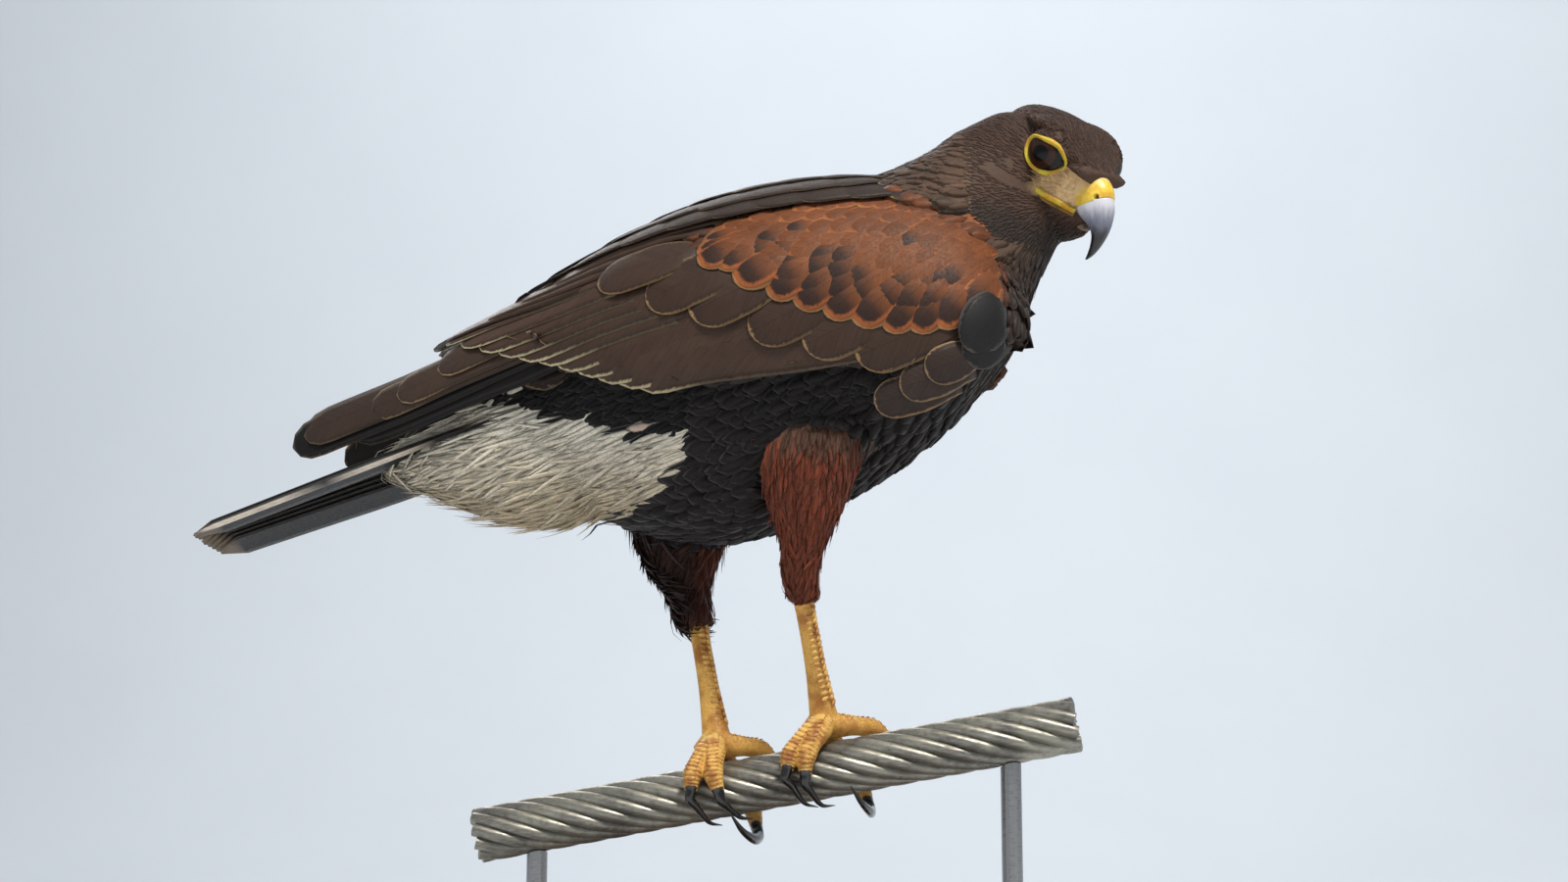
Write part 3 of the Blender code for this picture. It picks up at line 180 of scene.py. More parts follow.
def loft(name, rings, smooth=True):
    """Closed rings of equal length joined in order, each end closed by a fan."""
    rings = np.array(rings, float)
    rows, count, _ = rings.shape
    i = np.arange(count)
    quads = []
    for k in range(rows - 1):
        a, b = k * count + i, k * count + (i + 1) % count
        quads.append(np.stack([a, b, b + count, a + count], 1))
    verts = np.vstack([rings.reshape(-1, 3), rings[0].mean(0), rings[-1].mean(0)])
    first = np.stack([np.full(count, rows * count), (i + 1) % count, i], 1)
    end = (rows - 1) * count
    last = np.stack([np.full(count, rows * count + 1), end + i, end + (i + 1) % count], 1)
    return turned_out(mesh_object(name, verts, [np.vstack(quads), np.vstack([first, last])], smooth))


def oval(middle, side, up, half, high, low, count, square=2.0, flare=0.0):
    """A closed ring, squarer than an ellipse, with its own height above and below."""
    a = 2 * math.pi * np.arange(count) / count
    c, s = np.cos(a), np.sin(a)
    p = np.abs(c) ** (2 / square) * np.where(c > 0, high, low) * np.sign(c)
    q = np.abs(s) ** (2 / square) * half * np.sign(s) * (1 - flare * c)
    return np.array(middle) + np.outer(p, up) + np.outer(q, side)


def tube(name, points, radii, sides=12, up=(0, 0, 1), flat=1.0):
    """A round or flattened tube through the points."""
    points = np.array(points, float)
    rings = []
    for k, p in enumerate(points):
        way = unit(points[min(k + 1, len(points) - 1)] - points[max(k - 1, 0)])
        side = np.cross(way, up)
        side = unit(side if np.linalg.norm(side) > 1e-3 else np.cross(way, (0, 1, 0)))
        over = np.cross(side, way)
        rings.append(oval(p, side, over, radii[k] * flat, radii[k], radii[k], sides))
    return loft(name, rings)


def applied(obj):
    """Turns the object's modifiers into its own mesh."""
    bpy.context.view_layer.update()
    graph = bpy.context.evaluated_depsgraph_get()
    mesh = bpy.data.meshes.new_from_object(obj.evaluated_get(graph))
    obj.modifiers.clear()
    obj.data = mesh
    return obj


def points_of(obj):
    co = np.empty(len(obj.data.vertices) * 3, np.float32)
    obj.data.vertices.foreach_get("co", co)
    return co.reshape(-1, 3).astype(float)


def set_points(obj, co):
    obj.data.vertices.foreach_set("co", np.asarray(co, np.float32).ravel())
    obj.data.update()


def joined(name, objects):
    """One object that holds the meshes of all the others, with their materials."""
    with bpy.context.temp_override(active_object=objects[0], selected_editable_objects=objects):
        bpy.ops.object.join()
    objects[0].name = name
    objects[0].data.name = name
    return objects[0]


def skinned(obj, voxel, rounds):
    """Melts closed pieces that cross into one even, smooth surface."""
    melt = obj.modifiers.new("melt", "REMESH")
    melt.mode = "VOXEL"
    melt.voxel_size = voxel
    melt.use_smooth_shade = True
    soften = obj.modifiers.new("soften", "SMOOTH")
    soften.factor = 0.5
    soften.iterations = rounds
    return applied(obj)


print("shape helpers are ready")

# %% [markdown]
# ## Small helpers for finishes
# A finish is a short node tree on a Principled shader. Patterns read Object coordinates or the piece's own
# maps, so they stay on the piece from every side. `tone` turns a colour as the eye names it into the linear
# numbers that the shader wants.


# %% Finish helpers
def tone(r, g, b):
    c = np.array([r, g, b], float) / 255
    return np.where(c <= 0.04045, c / 12.92, ((c + 0.055) / 1.055) ** 2.4)


class Nodes:
    """A node tree with short calls. A kind without "Node" in it belongs to the tree's own family."""

    family = "ShaderNode"

    def node(self, kind, settings=None, **inputs):
        made = self.tree.nodes.new(kind if "Node" in kind else self.family + kind)
        for key, value in (settings or {}).items():
            setattr(made, key, value)
        for key, value in inputs.items():
            place = int(key[1:]) if key[0] == "i" and key[1:].isdigit() else key.replace("_", " ")
            self.put(made.inputs[place], value)
        return made

    def put(self, socket, value):
        if isinstance(value, bpy.types.NodeSocket):
            self.tree.links.new(value, socket)
        elif hasattr(value, "__len__") and len(value) == 3 and socket.type == "RGBA":
            socket.default_value = (*[float(v) for v in value], 1.0)
        else:
            socket.default_value = value


class Finish(Nodes):
    """A material with its Principled shader. Sockets that are the same all over are set here."""

    def __init__(self, name, rough, **sockets):
        self.material = bpy.data.materials.new(name)
        self.material.use_nodes = True
        self.tree = self.material.node_tree
        self.shader = self.tree.nodes["Principled BSDF"]
        self.shader.inputs["Roughness"].default_value = rough
        for key, value in sockets.items():
            self.shader.inputs[key.replace("_", " ")].default_value = value

    def read(self, name, out="Fac"):
        return self.node("Attribute", {"attribute_name": name}).outputs[out]

    def sum(self, kind, a, b=0.0, c=0.0, clamp=False):
        made = self.node("Math", {"operation": kind, "use_clamp": clamp}, i0=a, i1=b, i2=c)
        return made.outputs[0]

    def mix(self, part, a, b, blend="MIX"):
        made = self.tree.nodes.new("ShaderNodeMix")
        made.data_type = "RGBA"
        made.blend_type = blend
        self.put(made.inputs["Factor"], part)
        self.put(made.inputs[6], a)
        self.put(made.inputs[7], b)
        return made.outputs[2]

    def shaded(self, part, base, shade):
        """The base, multiplied by the shade as far as part says."""
        return self.mix(part, base, self.mix(1.0, base, shade, "MULTIPLY"))

    def step(self, value, low, high, out_low=0.0, out_high=1.0):
        made = self.node("MapRange", {"interpolation_type": "SMOOTHSTEP"}, Value=value)
        for key, number in (("From Min", low), ("From Max", high), ("To Min", out_low), ("To Max", out_high)):
            made.inputs[key].default_value = number
        return made.outputs["Result"]

    def noise(self, scale, detail=3.0, rough=0.55, coords=None, squeeze=None):
        if coords is None:
            coords = self.node("TexCoord").outputs["Object"]
        if squeeze is not None:
            coords = self.node("Mapping", None, Vector=coords, Scale=squeeze).outputs[0]
        return self.node("TexNoise", None, Vector=coords, Scale=scale, Detail=detail, Roughness=rough).outputs["Fac"]

    def colour(self, socket):
        self.tree.links.new(socket, self.shader.inputs["Base Color"])

    def rough(self, socket):
        self.tree.links.new(socket, self.shader.inputs["Roughness"])

    def bump(self, height, strength, distance):
        made = self.node("Bump", None, Strength=strength, Distance=distance, Height=height)
        self.tree.links.new(made.outputs[0], self.shader.inputs["Normal"])


def attribute(obj, name, values, kind="FLOAT_COLOR"):
    """Stores one value a point; colours get a fourth number."""
    layer = obj.data.attributes.new(name, kind, "POINT")
    layer.data.foreach_set("color" if kind == "FLOAT_COLOR" else "value", np.asarray(values, np.float32).ravel())


def dress(obj, *finishes):
    obj.data.materials.clear()
    for finish in finishes:
        obj.data.materials.append(finish.material)
    return obj


print("finish helpers are ready")

# %% [markdown]
# ## The measures of the bird
# These are the same named sizes as in the CAD source: stations along the body, head, thighs and wing. The
# body's stations give a point on the back, a point on the front and a half width.

# %% Body and head measures
BODY = (
    (-0.119, 0.262, -0.119, 0.240, 0.014), (-0.106, 0.276, -0.106, 0.218, 0.026),
    (-0.082, 0.299, -0.084, 0.202, 0.038), (-0.052, 0.321, -0.054, 0.193, 0.046),
    (-0.020, 0.337, -0.020, 0.190, 0.051), (0.010, 0.346, 0.016, 0.2025, 0.053),
    (0.034, 0.3515, 0.050, 0.2220, 0.053), (0.051, 0.3580, 0.080, 0.2465, 0.050),
    (0.065, 0.3650, 0.100, 0.2690, 0.044), (0.076, 0.3735, 0.1075, 0.2860, 0.0365),
    (0.087, 0.3795, 0.1125, 0.3000, 0.0310), (0.0975, 0.3840, 0.1190, 0.3120, 0.0265),
    (0.1110, 0.3840, 0.1250, 0.3250, 0.0200),
)
BODY_SQUARE = 2.25
HEAD_MIDDLE = np.array([0.1230, -0.0040, 0.3580])
HEAD_TURN, HEAD_BEND = math.radians(46.0), math.radians(35.0)
HEAD = (
    (-0.0320, 0.0090, -0.0080, 0.0080), (-0.0280, 0.0172, -0.0170, 0.0160), (-0.0205, 0.0203, -0.0255, 0.0207),
    (-0.0100, 0.0220, -0.0315, 0.0234), (0.0010, 0.0224, -0.0340, 0.0238), (0.0090, 0.0210, -0.0342, 0.0218),
    (0.0155, 0.0176, -0.0328, 0.0186), (0.0210, 0.0130, -0.0302, 0.0146), (0.0255, 0.0085, -0.0277, 0.0112),
    (0.0295, 0.0040, -0.0252, 0.0074), (0.0325, -0.0005, -0.0232, 0.0048),
)
BROWS = (
    (-0.0100, 0.0180, 0.0118, 0.0178), (-0.0040, 0.0198, 0.0110, 0.0202), (0.0030, 0.0214, 0.0108, 0.0218),
    (0.0105, 0.0198, 0.0102, 0.0212), (0.0175, 0.0150, 0.0084, 0.0198), (0.0240, 0.0114, 0.0052, 0.0184),
    (0.0290, 0.0088, 0.0018, 0.0164), (0.0320, 0.0072, 0.0006, 0.0110),
)
HEAD_SQUARE = 2.2
cos_t, sin_t, cos_b, sin_b = math.cos(HEAD_TURN), math.sin(HEAD_TURN), math.cos(HEAD_BEND), math.sin(HEAD_BEND)
HEAD_AHEAD = np.array([cos_b * cos_t, -cos_b * sin_t, -sin_b])
HEAD_UP = np.array([sin_b * cos_t, -sin_b * sin_t, cos_b])
HEAD_RIGHT = np.array([-sin_t, -cos_t, 0.0])


def on_head(ahead, up, right):
    return HEAD_MIDDLE + HEAD_AHEAD * ahead + HEAD_UP * up + HEAD_RIGHT * right


def in_head(points):
    """World points as (ahead, up, right) in the head's own axes."""
    return (points - HEAD_MIDDLE) @ np.stack([HEAD_AHEAD, HEAD_UP, HEAD_RIGHT], 1)


def body_rings(grow, count, sides):
    rings = []
    for k, (xt, zt, xb, zb, half) in enumerate(smooth_rows(BODY, count)):
        top, bottom = np.array([xt, 0, zt]), np.array([xb, 0, zb])
        up = unit(top - bottom)
        high = np.linalg.norm(top - bottom) / 2 + grow
        shift = grow * (1 if k == count - 1 else -1 if k == 0 else 0)
        middle = (top + bottom) / 2 + np.array([up[2], 0, -up[0]]) * shift
        rings.append(oval(middle, (0, 1, 0), up, half + grow, high, high, sides, BODY_SQUARE))
    return rings


def head_rings(grow, count, sides):
    rings = []
    for f, top, bottom, half in smooth_rows(HEAD, count):
        mid = 0.45 * top + 0.55 * bottom + 0.0015
        middle = on_head(f, mid, 0)
        rings.append(
            oval(middle, HEAD_RIGHT, HEAD_UP, half + grow, top - mid + grow, mid - bottom + grow, sides, HEAD_SQUARE)
        )
    return rings


def brow_rings(grow, count, sides):
    rings = []
    for f, top, bottom, half in smooth_rows(BROWS, count):
        high = (top - bottom) / 2 + grow
        rings.append(
            oval(on_head(f, (top + bottom) / 2, 0), HEAD_RIGHT, HEAD_UP, half + grow, high, high, sides, 2.4)
        )
    return rings


def along(table, x):
    table = np.array(sorted(table), float)
    return np.stack([np.interp(x, table[:, 0], table[:, i]) for i in range(1, table.shape[1])], -1)


print("body stations", len(BODY), "head stations", len(HEAD))

# %% [markdown]
# ## Measures of the thighs, the wings and the tail
# Thigh rows say where the leg's flesh is: middle, height, half length and half width. A folded wing is a shallow
# shell, so its top line and its edge are enough. The tail is a thin wedge. All are read off the photograph.

# %% Thigh, wing and tail measures
THIGHS = {
    "right": (
        (0.0170, -0.0240, 0.2480, 0.0260, 0.0140), (0.0160, -0.0300, 0.2360, 0.0290, 0.0190),
        (0.0150, -0.0345, 0.2220, 0.0255, 0.0185), (0.0135, -0.0350, 0.2060, 0.0205, 0.0160),
        (0.0125, -0.0325, 0.1910, 0.0150, 0.0125), (0.0105, -0.0295, 0.1790, 0.0100, 0.0092),
        (0.0098, -0.0262, 0.1700, 0.0082, 0.0080), (0.0112, -0.0222, 0.1605, 0.0066, 0.0064),
    ),
    "left": (
        (-0.0430, 0.0240, 0.2420, 0.0280, 0.0140), (-0.0450, 0.0300, 0.2300, 0.0310, 0.0190),
        (-0.0480, 0.0340, 0.2160, 0.0290, 0.0185), (-0.0490, 0.0345, 0.2010, 0.0235, 0.0165),
        (-0.0480, 0.0320, 0.1860, 0.0175, 0.0130), (-0.0455, 0.0280, 0.1740, 0.0115, 0.0095),
        (-0.0436, 0.0245, 0.1650, 0.0088, 0.0080), (-0.0402, 0.0200, 0.1550, 0.0068, 0.0064),
    ),
}
# Each wing station: x, top, level of greatest width, half width
WING = (
    (0.109, 0.2930, 0.2740, 0.0320), (0.104, 0.3060, 0.2750, 0.0410), (0.093, 0.3230, 0.2765, 0.0510),
    (0.075, 0.3370, 0.2790, 0.0590), (0.045, 0.3470, 0.2810, 0.0625), (0.005, 0.3465, 0.2810, 0.0630),
    (-0.033, 0.3385, 0.2790, 0.0600), (-0.068, 0.3245, 0.2720, 0.0535), (-0.100, 0.3070, 0.2630, 0.0460),
    (-0.136, 0.2885, 0.2540, 0.0390), (-0.165, 0.2740, 0.2450, 0.0335), (-0.200, 0.2590, 0.2340, 0.0285),
    (-0.225, 0.2460, 0.2250, 0.0260),
)
WING = [tuple(row) for row in smooth_rows(WING, 97)]
WING_EDGE = (
    (0.110, 0.262), (0.090, 0.255), (0.040, 0.2500), (0.0275, 0.2510), (-0.018, 0.2440), (-0.052, 0.2445),
    (-0.078, 0.2515), (-0.105, 0.2610), (-0.133, 0.2680), (-0.161, 0.2745),
)
WING_DROOP = 1.25
LEFT_WING_BACK = 0.012
LEFT_TIP_BACK = 0.011

TAIL_ROOT = np.array([-0.088, 0.0, 0.2600])
TAIL_DROP, TAIL_ROLL, TAIL_LENGTH = math.radians(19.8), math.radians(12.0), 0.190
TAIL_CORE = (
    (-0.004, 0.026, 0.010, 0.050), (0.012, 0.0285, 0.0085, 0.057), (0.028, 0.0280, 0.0068, 0.057),
    (0.046, 0.0255, 0.0050, 0.050), (0.064, 0.0205, 0.0035, 0.036), (0.082, 0.0150, 0.0022, 0.0180),
    (0.096, 0.0100, 0.0012, 0.0060),
)
tail_way = np.array([-math.cos(TAIL_DROP), 0.0, -math.sin(TAIL_DROP)])
tail_up = unit(np.cross(tail_way, (0.0, -math.cos(TAIL_ROLL), math.sin(TAIL_ROLL))))
tail_up = tail_up * np.sign(tail_up[2])
tail_side = unit(np.cross(tail_up, tail_way))
tail_side = -tail_side * np.sign(tail_side[1])


def on_tail(s, a, u):
    return TAIL_ROOT + tail_way * s + tail_side * a + tail_up * u


def left_back(x):
    """How far back the left wing's front part is held, as it is hidden behind the breast."""
    return LEFT_WING_BACK * np.clip((x - 0.02) / 0.06, 0, 1)


def wing_at(x, angle, grow, side):
    top, level, wide = np.moveaxis(along(WING, x), -1, 0)
    c, s = np.cos(angle), np.sin(angle)
    high = (top - level) * np.where(c > 0, 1.0, WING_DROOP) + grow
    return np.stack([x + 0 * c, side * (wide + grow) * s, level + high * c], -1)


def wing_angle(x, z):
    top, level, _ = np.moveaxis(along(WING, x), -1, 0)
    part = (z - level) / (top - level) / np.where(z > level, 1.0, WING_DROOP)
    return np.arccos(np.clip(part, -0.999, 0.995))


print("wing stations", len(WING), "tail length", TAIL_LENGTH)

# %% [markdown]
# ## The skin
# Under a bird's coat lies one skin. Separate lofts for trunk, head, thighs, wings and tail are melted into one
# surface with a voxel remesh, so that no seam can show, and it lies inside the CAD solids by the depth of the
# coat. The head gets a second, finer shell, because its forms are small. Round each eye the skin is drawn in,
# so that the eyeball sits in a socket.

# %% One skin for trunk, limbs, wings and tail
COAT_DEPTH = 0.0022
HEAD_DEPTH = 0.0013
THIGH_DEPTH = 0.0028


def wing_core(side):
    rings = []
    for x in np.linspace(0.1080, -0.117, 40):
        low = along(WING_EDGE, x)[0] + 0.007 + 0.004 * (x < -0.05)
        start, end = math.radians(24), float(wing_angle(x, low))
        inner = 0.010 if x < 0.10 else 0.006
        outer = wing_at(np.full(16, x), np.linspace(start, end, 16), -0.0006, side)
        ring = np.vstack([outer, wing_at(np.full(7, x), np.linspace(end, start, 7), -inner, side)])
        rings.append(ring - np.array([left_back(x) if side > 0 else 0.0, 0, 0]))
    return loft("wing_core", rings)


def thigh_core(which):
    a = 2 * math.pi * np.arange(24) / 24
    rings = []
    for x, y, z, rx, ry in smooth_rows(THIGHS[which], 20):
        depth = THIGH_DEPTH * float(smoothstep(0.0060, 0.0130, rx))
        flat = np.stack([x + (rx - depth) * np.cos(a), y + (ry - depth) * np.sin(a), z + 0 * a], 1)
        rings.append(flat)
    return loft("thigh_core", rings)


parts = [loft("trunk", body_rings(-COAT_DEPTH, 44, 56)), loft("skull", head_rings(-HEAD_DEPTH, 30, 40))]
parts += [wing_core(-1), wing_core(1), thigh_core("right"), thigh_core("left")]
tail_rings = [
    oval(on_tail(s, 0, 0), tail_side, tail_up, half - 0.001, high - 0.001, low - 0.001, 28, 2.1)
    for s, half, high, low in smooth_rows(TAIL_CORE, 16)
]
parts.append(loft("tail_core", tail_rings))
skin = skinned(joined("hawk_skin", parts), 0.0018, 5)
fine_parts = [loft("skull", head_rings(-HEAD_DEPTH + 0.0003, 40, 56)), loft("brow", brow_rings(-0.0002, 26, 36))]
fine_head = skinned(joined("fine_head", fine_parts), 0.0008, 5)
skin = joined("hawk_skin", [skin, fine_head])
print("skin faces", len(skin.data.polygons))

# %% [markdown]
# ## Eye sockets
# The opening of the lids is an ellipse that leans down towards the bill. Points of the skin inside it sink
# under the eyeball, and points round it are drawn down to the eyeball's own curve.

# %% Eye places and sockets
EYE_RADIUS = 0.0108
EYE_PLACE = (0.0100, 0.0060)
# How far out each eye's middle is; the left one, out of sight, sits a little deeper
EYE_OUT = {1: 0.0148, -1: 0.0134}
EYE_LOOK = (0.40, -0.04, 0.915)
LID_LONG, LID_SHORT, LID_TILT = 0.0088, 0.0071, math.radians(18)
LID_CORNER, BROW_CUT = math.radians(186), 0.0054


def eye_axes(side):
    middle = on_head(*EYE_PLACE, EYE_OUT[side] * side)
    look = unit(HEAD_AHEAD * EYE_LOOK[0] + HEAD_UP * EYE_LOOK[1] + HEAD_RIGHT * EYE_LOOK[2] * side)
    level = unit(np.cross(look, HEAD_UP)) * side
    rise = np.cross(level, look) * side
    return middle, look, level, rise


def lid_angle(a):
    """How far from the eye's axis the edge of the lids lies, in radians."""
    wide = 1 / np.hypot(np.cos(a - LID_TILT) / LID_LONG, np.sin(a - LID_TILT) / LID_SHORT)
    # The corner towards the bill is drawn out, and the brow cuts the opening straight off above
    wide = wide * (1 + 0.13 * np.exp(-(((a % (2 * math.pi)) - LID_CORNER) / 0.36) ** 2))
    under_brow = BROW_CUT / np.maximum(np.sin(a + 0.03), 0.05)
    wide = (wide**-8.0 + under_brow**-8.0) ** (-1 / 8.0)
    return np.arcsin(wide / EYE_RADIUS)


def round_eye(points, side):
    """Distance from the eye's middle, angle from its axis, and that angle less the lid's."""
    middle, look, level, rise = eye_axes(side)
    away = points - middle
    reach = np.linalg.norm(away, axis=-1)
    off = np.arccos(np.clip(away @ look / np.maximum(reach, 1e-9), -1, 1))
    a = np.arctan2(away @ rise, away @ level)
    return reach, off, off - lid_angle(a)


points = points_of(skin)
for side in (1, -1):
    middle = eye_axes(side)[0]
    reach, off, past = round_eye(points, side)
    near = (reach < 0.020) & (off < 1.6)
    held = np.minimum(reach, EYE_RADIUS + 0.0008)
    wanted = held + (reach - held) * smoothstep(0.10, 0.55, past)
    wanted = np.maximum(wanted, EYE_RADIUS + 0.0006)
    wanted = np.where(past < 0.02, EYE_RADIUS - 0.0016, wanted)
    wanted = np.where(near, wanted, reach)
    points = middle + (points - middle) * (wanted / np.maximum(reach, 1e-9))[:, None]
set_points(skin, points)
print("sockets drawn in round both eyes")

# %% [markdown]
# ## Where each kind of feather grows
# Feathers grow in tracts: crown and face, neck, breast, back, vent, thighs. A point of the skin is given to a
# tract from its place in the bird's own measures, and every point has a lie, the way its feathers point. On the
# head they run back from the bill, on the trunk towards the tail, on the thighs down.

# %% Tracts and the lie of the coat
ROWS = smooth_rows(BODY, 120)
ROW_MIDDLES = np.stack([(ROWS[:, 0] + ROWS[:, 2]) / 2, 0 * ROWS[:, 0], (ROWS[:, 1] + ROWS[:, 3]) / 2], 1)
ROW_WAYS = units(np.gradient(ROW_MIDDLES, axis=0))


def body_place(points):
    """Station 0-1 from rump to head, height 0-1 from belly to back, and angle round the body."""
    top = ROWS[:, [0, 1]]
    bottom = ROWS[:, [2, 3]]
    xz = points[:, [0, 2]]
    best = np.argmin(((xz[:, None, :] - (top + bottom)[None] / 2) ** 2).sum(-1), 1)
    up = units(top - bottom)
    for _ in range(3):
        height = ((xz - bottom[best]) * up[best]).sum(-1)
        foot = bottom[best] + up[best] * height[:, None]
        ahead = np.stack([up[best][:, 1], -up[best][:, 0]], 1)
        miss = ((xz - foot) * ahead).sum(-1)
        best = np.clip(best + np.sign(miss).astype(int) * (np.abs(miss) > 0.0012) * 2, 0, len(ROWS) - 1)
    size = np.linalg.norm(top - bottom, axis=1)[best]
    height = ((xz - bottom[best]) * up[best]).sum(-1) / size
    angle = np.arctan2(points[:, 1], (height - 0.5) * size)
    return best / (len(ROWS) - 1), height, angle, ROW_WAYS[best]


def thigh_at(which, z):
    """Middle x and y, half length and half width of a thigh at each height z."""
    order = np.array(sorted(THIGHS[which], key=lambda row: row[2]))
    return [np.interp(z, order[:, 2], order[:, i]) for i in (0, 1, 3, 4)]


def in_thigh(points, which):
    """1 on the thigh's surface, less inside; only below the flank."""
    z, heights = points[:, 2], [row[2] for row in THIGHS[which]]
    x, y, rx, ry = thigh_at(which, z)
    away = np.hypot((points[:, 0] - x) / rx, (points[:, 1] - y) / ry)
    return np.where((z < max(heights) - 0.004) & (z > min(heights) - 0.004), away, 9.0)


def outside_body(points):
    """1 on the trunk's surface, more outside it."""
    station, height, _, _ = body_place(points)
    row = np.clip((station * (len(ROWS) - 1)).astype(int), 0, len(ROWS) - 1)
    p = np.abs(height - 0.5) * 2
    q = np.abs(points[:, 1]) / ROWS[row, 4]
    return (p**BODY_SQUARE + q**BODY_SQUARE) ** (1 / BODY_SQUARE)


# Where the cream vent meets the black belly, from its lowest point up
VENT_FRONT = ((-0.0820, 0.1860), (-0.0600, 0.1990), (-0.0380, 0.2090), (-0.0270, 0.2190), (-0.0240, 0.2400))


def tracts(points):
    """The name of each point's tract."""
    station, height, angle, _ = body_place(points)
    label = np.where(height > 0.60, "back", "breast").astype(object)
    x, y, z = points.T
    neck = station > 0.60
    label[neck] = "neck"
    front = np.interp(z, [v[1] for v in VENT_FRONT], [v[0] for v in VENT_FRONT])
    white = (x < front) & (z < 0.262 + 0.35 * np.maximum(-0.05 - x, 0)) & (height < 0.66)
    label[white] = "vent"
    local = in_head(points)
    head = (local[:, 0] > -0.027) & (z > 0.316) & (x > 0.086) & (local[:, 1] > -0.040)
    label[head] = "head"
    for which, side in (("right", -1), ("left", 1)):
        away = in_thigh(points, which)
        label[(away < 1.15) & (outside_body(points) > 0.99) & (y * side > 0)] = "thigh_" + which
    along_tail = (points - TAIL_ROOT) @ tail_way
    tail = (x < -0.104) & (along_tail > 0.002)
    label[tail & ((points - TAIL_ROOT) @ tail_up <= 0.002)] = "vent"
    label[tail & ((points - TAIL_ROOT) @ tail_up > 0.002)] = "rump"
    # Under the wing's edge the cream vent becomes flank, painted black: dark plumage with painted shadow of the wing
    wing_shadow_line = along(WING_EDGE, x)[:, 0] - np.interp(x, (-0.140, -0.100), (0.016, 0.009))
    label[(label == "vent") & (z > wing_shadow_line)] = "flank"
    for side in (-1, 1):
        wx = x + (left_back(x) if side > 0 else 0)
        on = wing_at(wx, wing_angle(wx, z), 0.0, side)
        close = (np.abs(y) > np.abs(on[:, 1]) - 0.0060) & (y * side > 0) & (wx > -0.122) & (wx < 0.110)
        edge = along(WING_EDGE, wx)[:, 0]
        label[close & (z > edge + 0.001) & (z < along(WING, wx)[:, 0] - 0.004)] = "wing"
    return label


def lies(points, normals, label):
    """The way that the feathers point, along the skin."""
    _, _, _, ways = body_place(points)
    lie = -ways
    local = in_head(points)
    from_bill = units(points - on_head(0.034, -0.006, 0))
    part = smoothstep(-0.040, -0.012, local[:, 0])[:, None] * (points[:, 2:] > 0.312)
    lie = units(lie * (1 - part) + from_bill * part)
    down = np.array([-0.10, 0.0, -1.0])
    for which in ("right", "left"):
        on = label == "thigh_" + which
        lie[on] = down if which == "right" else np.array([-0.42, 0.0, -1.0])
    vent = np.isin(label, ("vent", "flank"))
    lie[vent] = units(lie[vent] * 0.4 + tail_way * 1.0 + np.array([0, 0, -0.10]))
    rump = label == "rump"
    lie[rump] = tail_way
    lie = lie - normals * (lie * normals).sum(-1, keepdims=True)
    return units(lie)


graph_verts = points_of(skin)
skin.data.calc_loop_triangles()
triangles = np.empty(len(skin.data.loop_triangles) * 3, np.int32)
skin.data.loop_triangles.foreach_get("vertices", triangles)
triangles = triangles.reshape(-1, 3)
corners = graph_verts[triangles]
cross = np.cross(corners[:, 1] - corners[:, 0], corners[:, 2] - corners[:, 0])
areas = np.linalg.norm(cross, axis=1) / 2
flat_normals = units(cross)
triangle_label = tracts(corners.mean(1))
# Where the fine shell of the head and the other skin pass through each other, only the outer one counts
whole_tree = BVHTree.FromPolygons([tuple(v) for v in graph_verts], [tuple(map(int, t)) for t in triangles])
outer = np.ones(len(triangles), bool)
for n in np.flatnonzero((corners[:, 0, 0] > 0.07) & (corners[:, 0, 2] > 0.30)):
    way = Vector(flat_normals[n])
    _, beyond, _, _ = whole_tree.ray_cast(Vector(corners[n].mean(0)) + way * 1e-4, way, 0.004)
    outer[n] = beyond is None or beyond.dot(way) < 0
triangle_label[~outer] = "covered"
skin_tree = BVHTree.FromPolygons([tuple(v) for v in graph_verts], [tuple(map(int, t)) for t in triangles[outer]])
for name in sorted(set(triangle_label)):
    print("tract", name, "covers", round(float(areas[triangle_label == name].sum()) * 1e4, 1), "cm2")

# %% [markdown]
# ## Feathers as thin solid vanes
# One vane is a closed leaf: a grid of points on its upper face, a second grid below, and one shared rim. The
# rim is also stored as a number, so that a finish can paint the worn, pale fringe without any picture. Its own
# map holds centimetres across and along, which keeps the barbs the same size on every feather. The map OFBake
# gives each small feather a tiny patch at its root's place on an unwrap of the skin.


# %% Vane builder
def vane_faces(stations, columns):
    """Quads of the upper and lower face, which share the rim."""
    top = np.arange(stations * columns).reshape(stations, columns)
    under = top.copy()
    inner = (stations - 2) * (columns - 2)
    under[1:-1, 1:-1] = stations * columns + np.arange(inner).reshape(stations - 2, columns - 2)
    up = [top[:-1, :-1], top[:-1, 1:], top[1:, 1:], top[1:, :-1]]
    down = [under[:-1, :-1], under[1:, :-1], under[1:, 1:], under[:-1, 1:]]
    quads = [np.stack([g.ravel() for g in group], 1) for group in (up, down)]
    return np.vstack(quads), stations * columns + inner


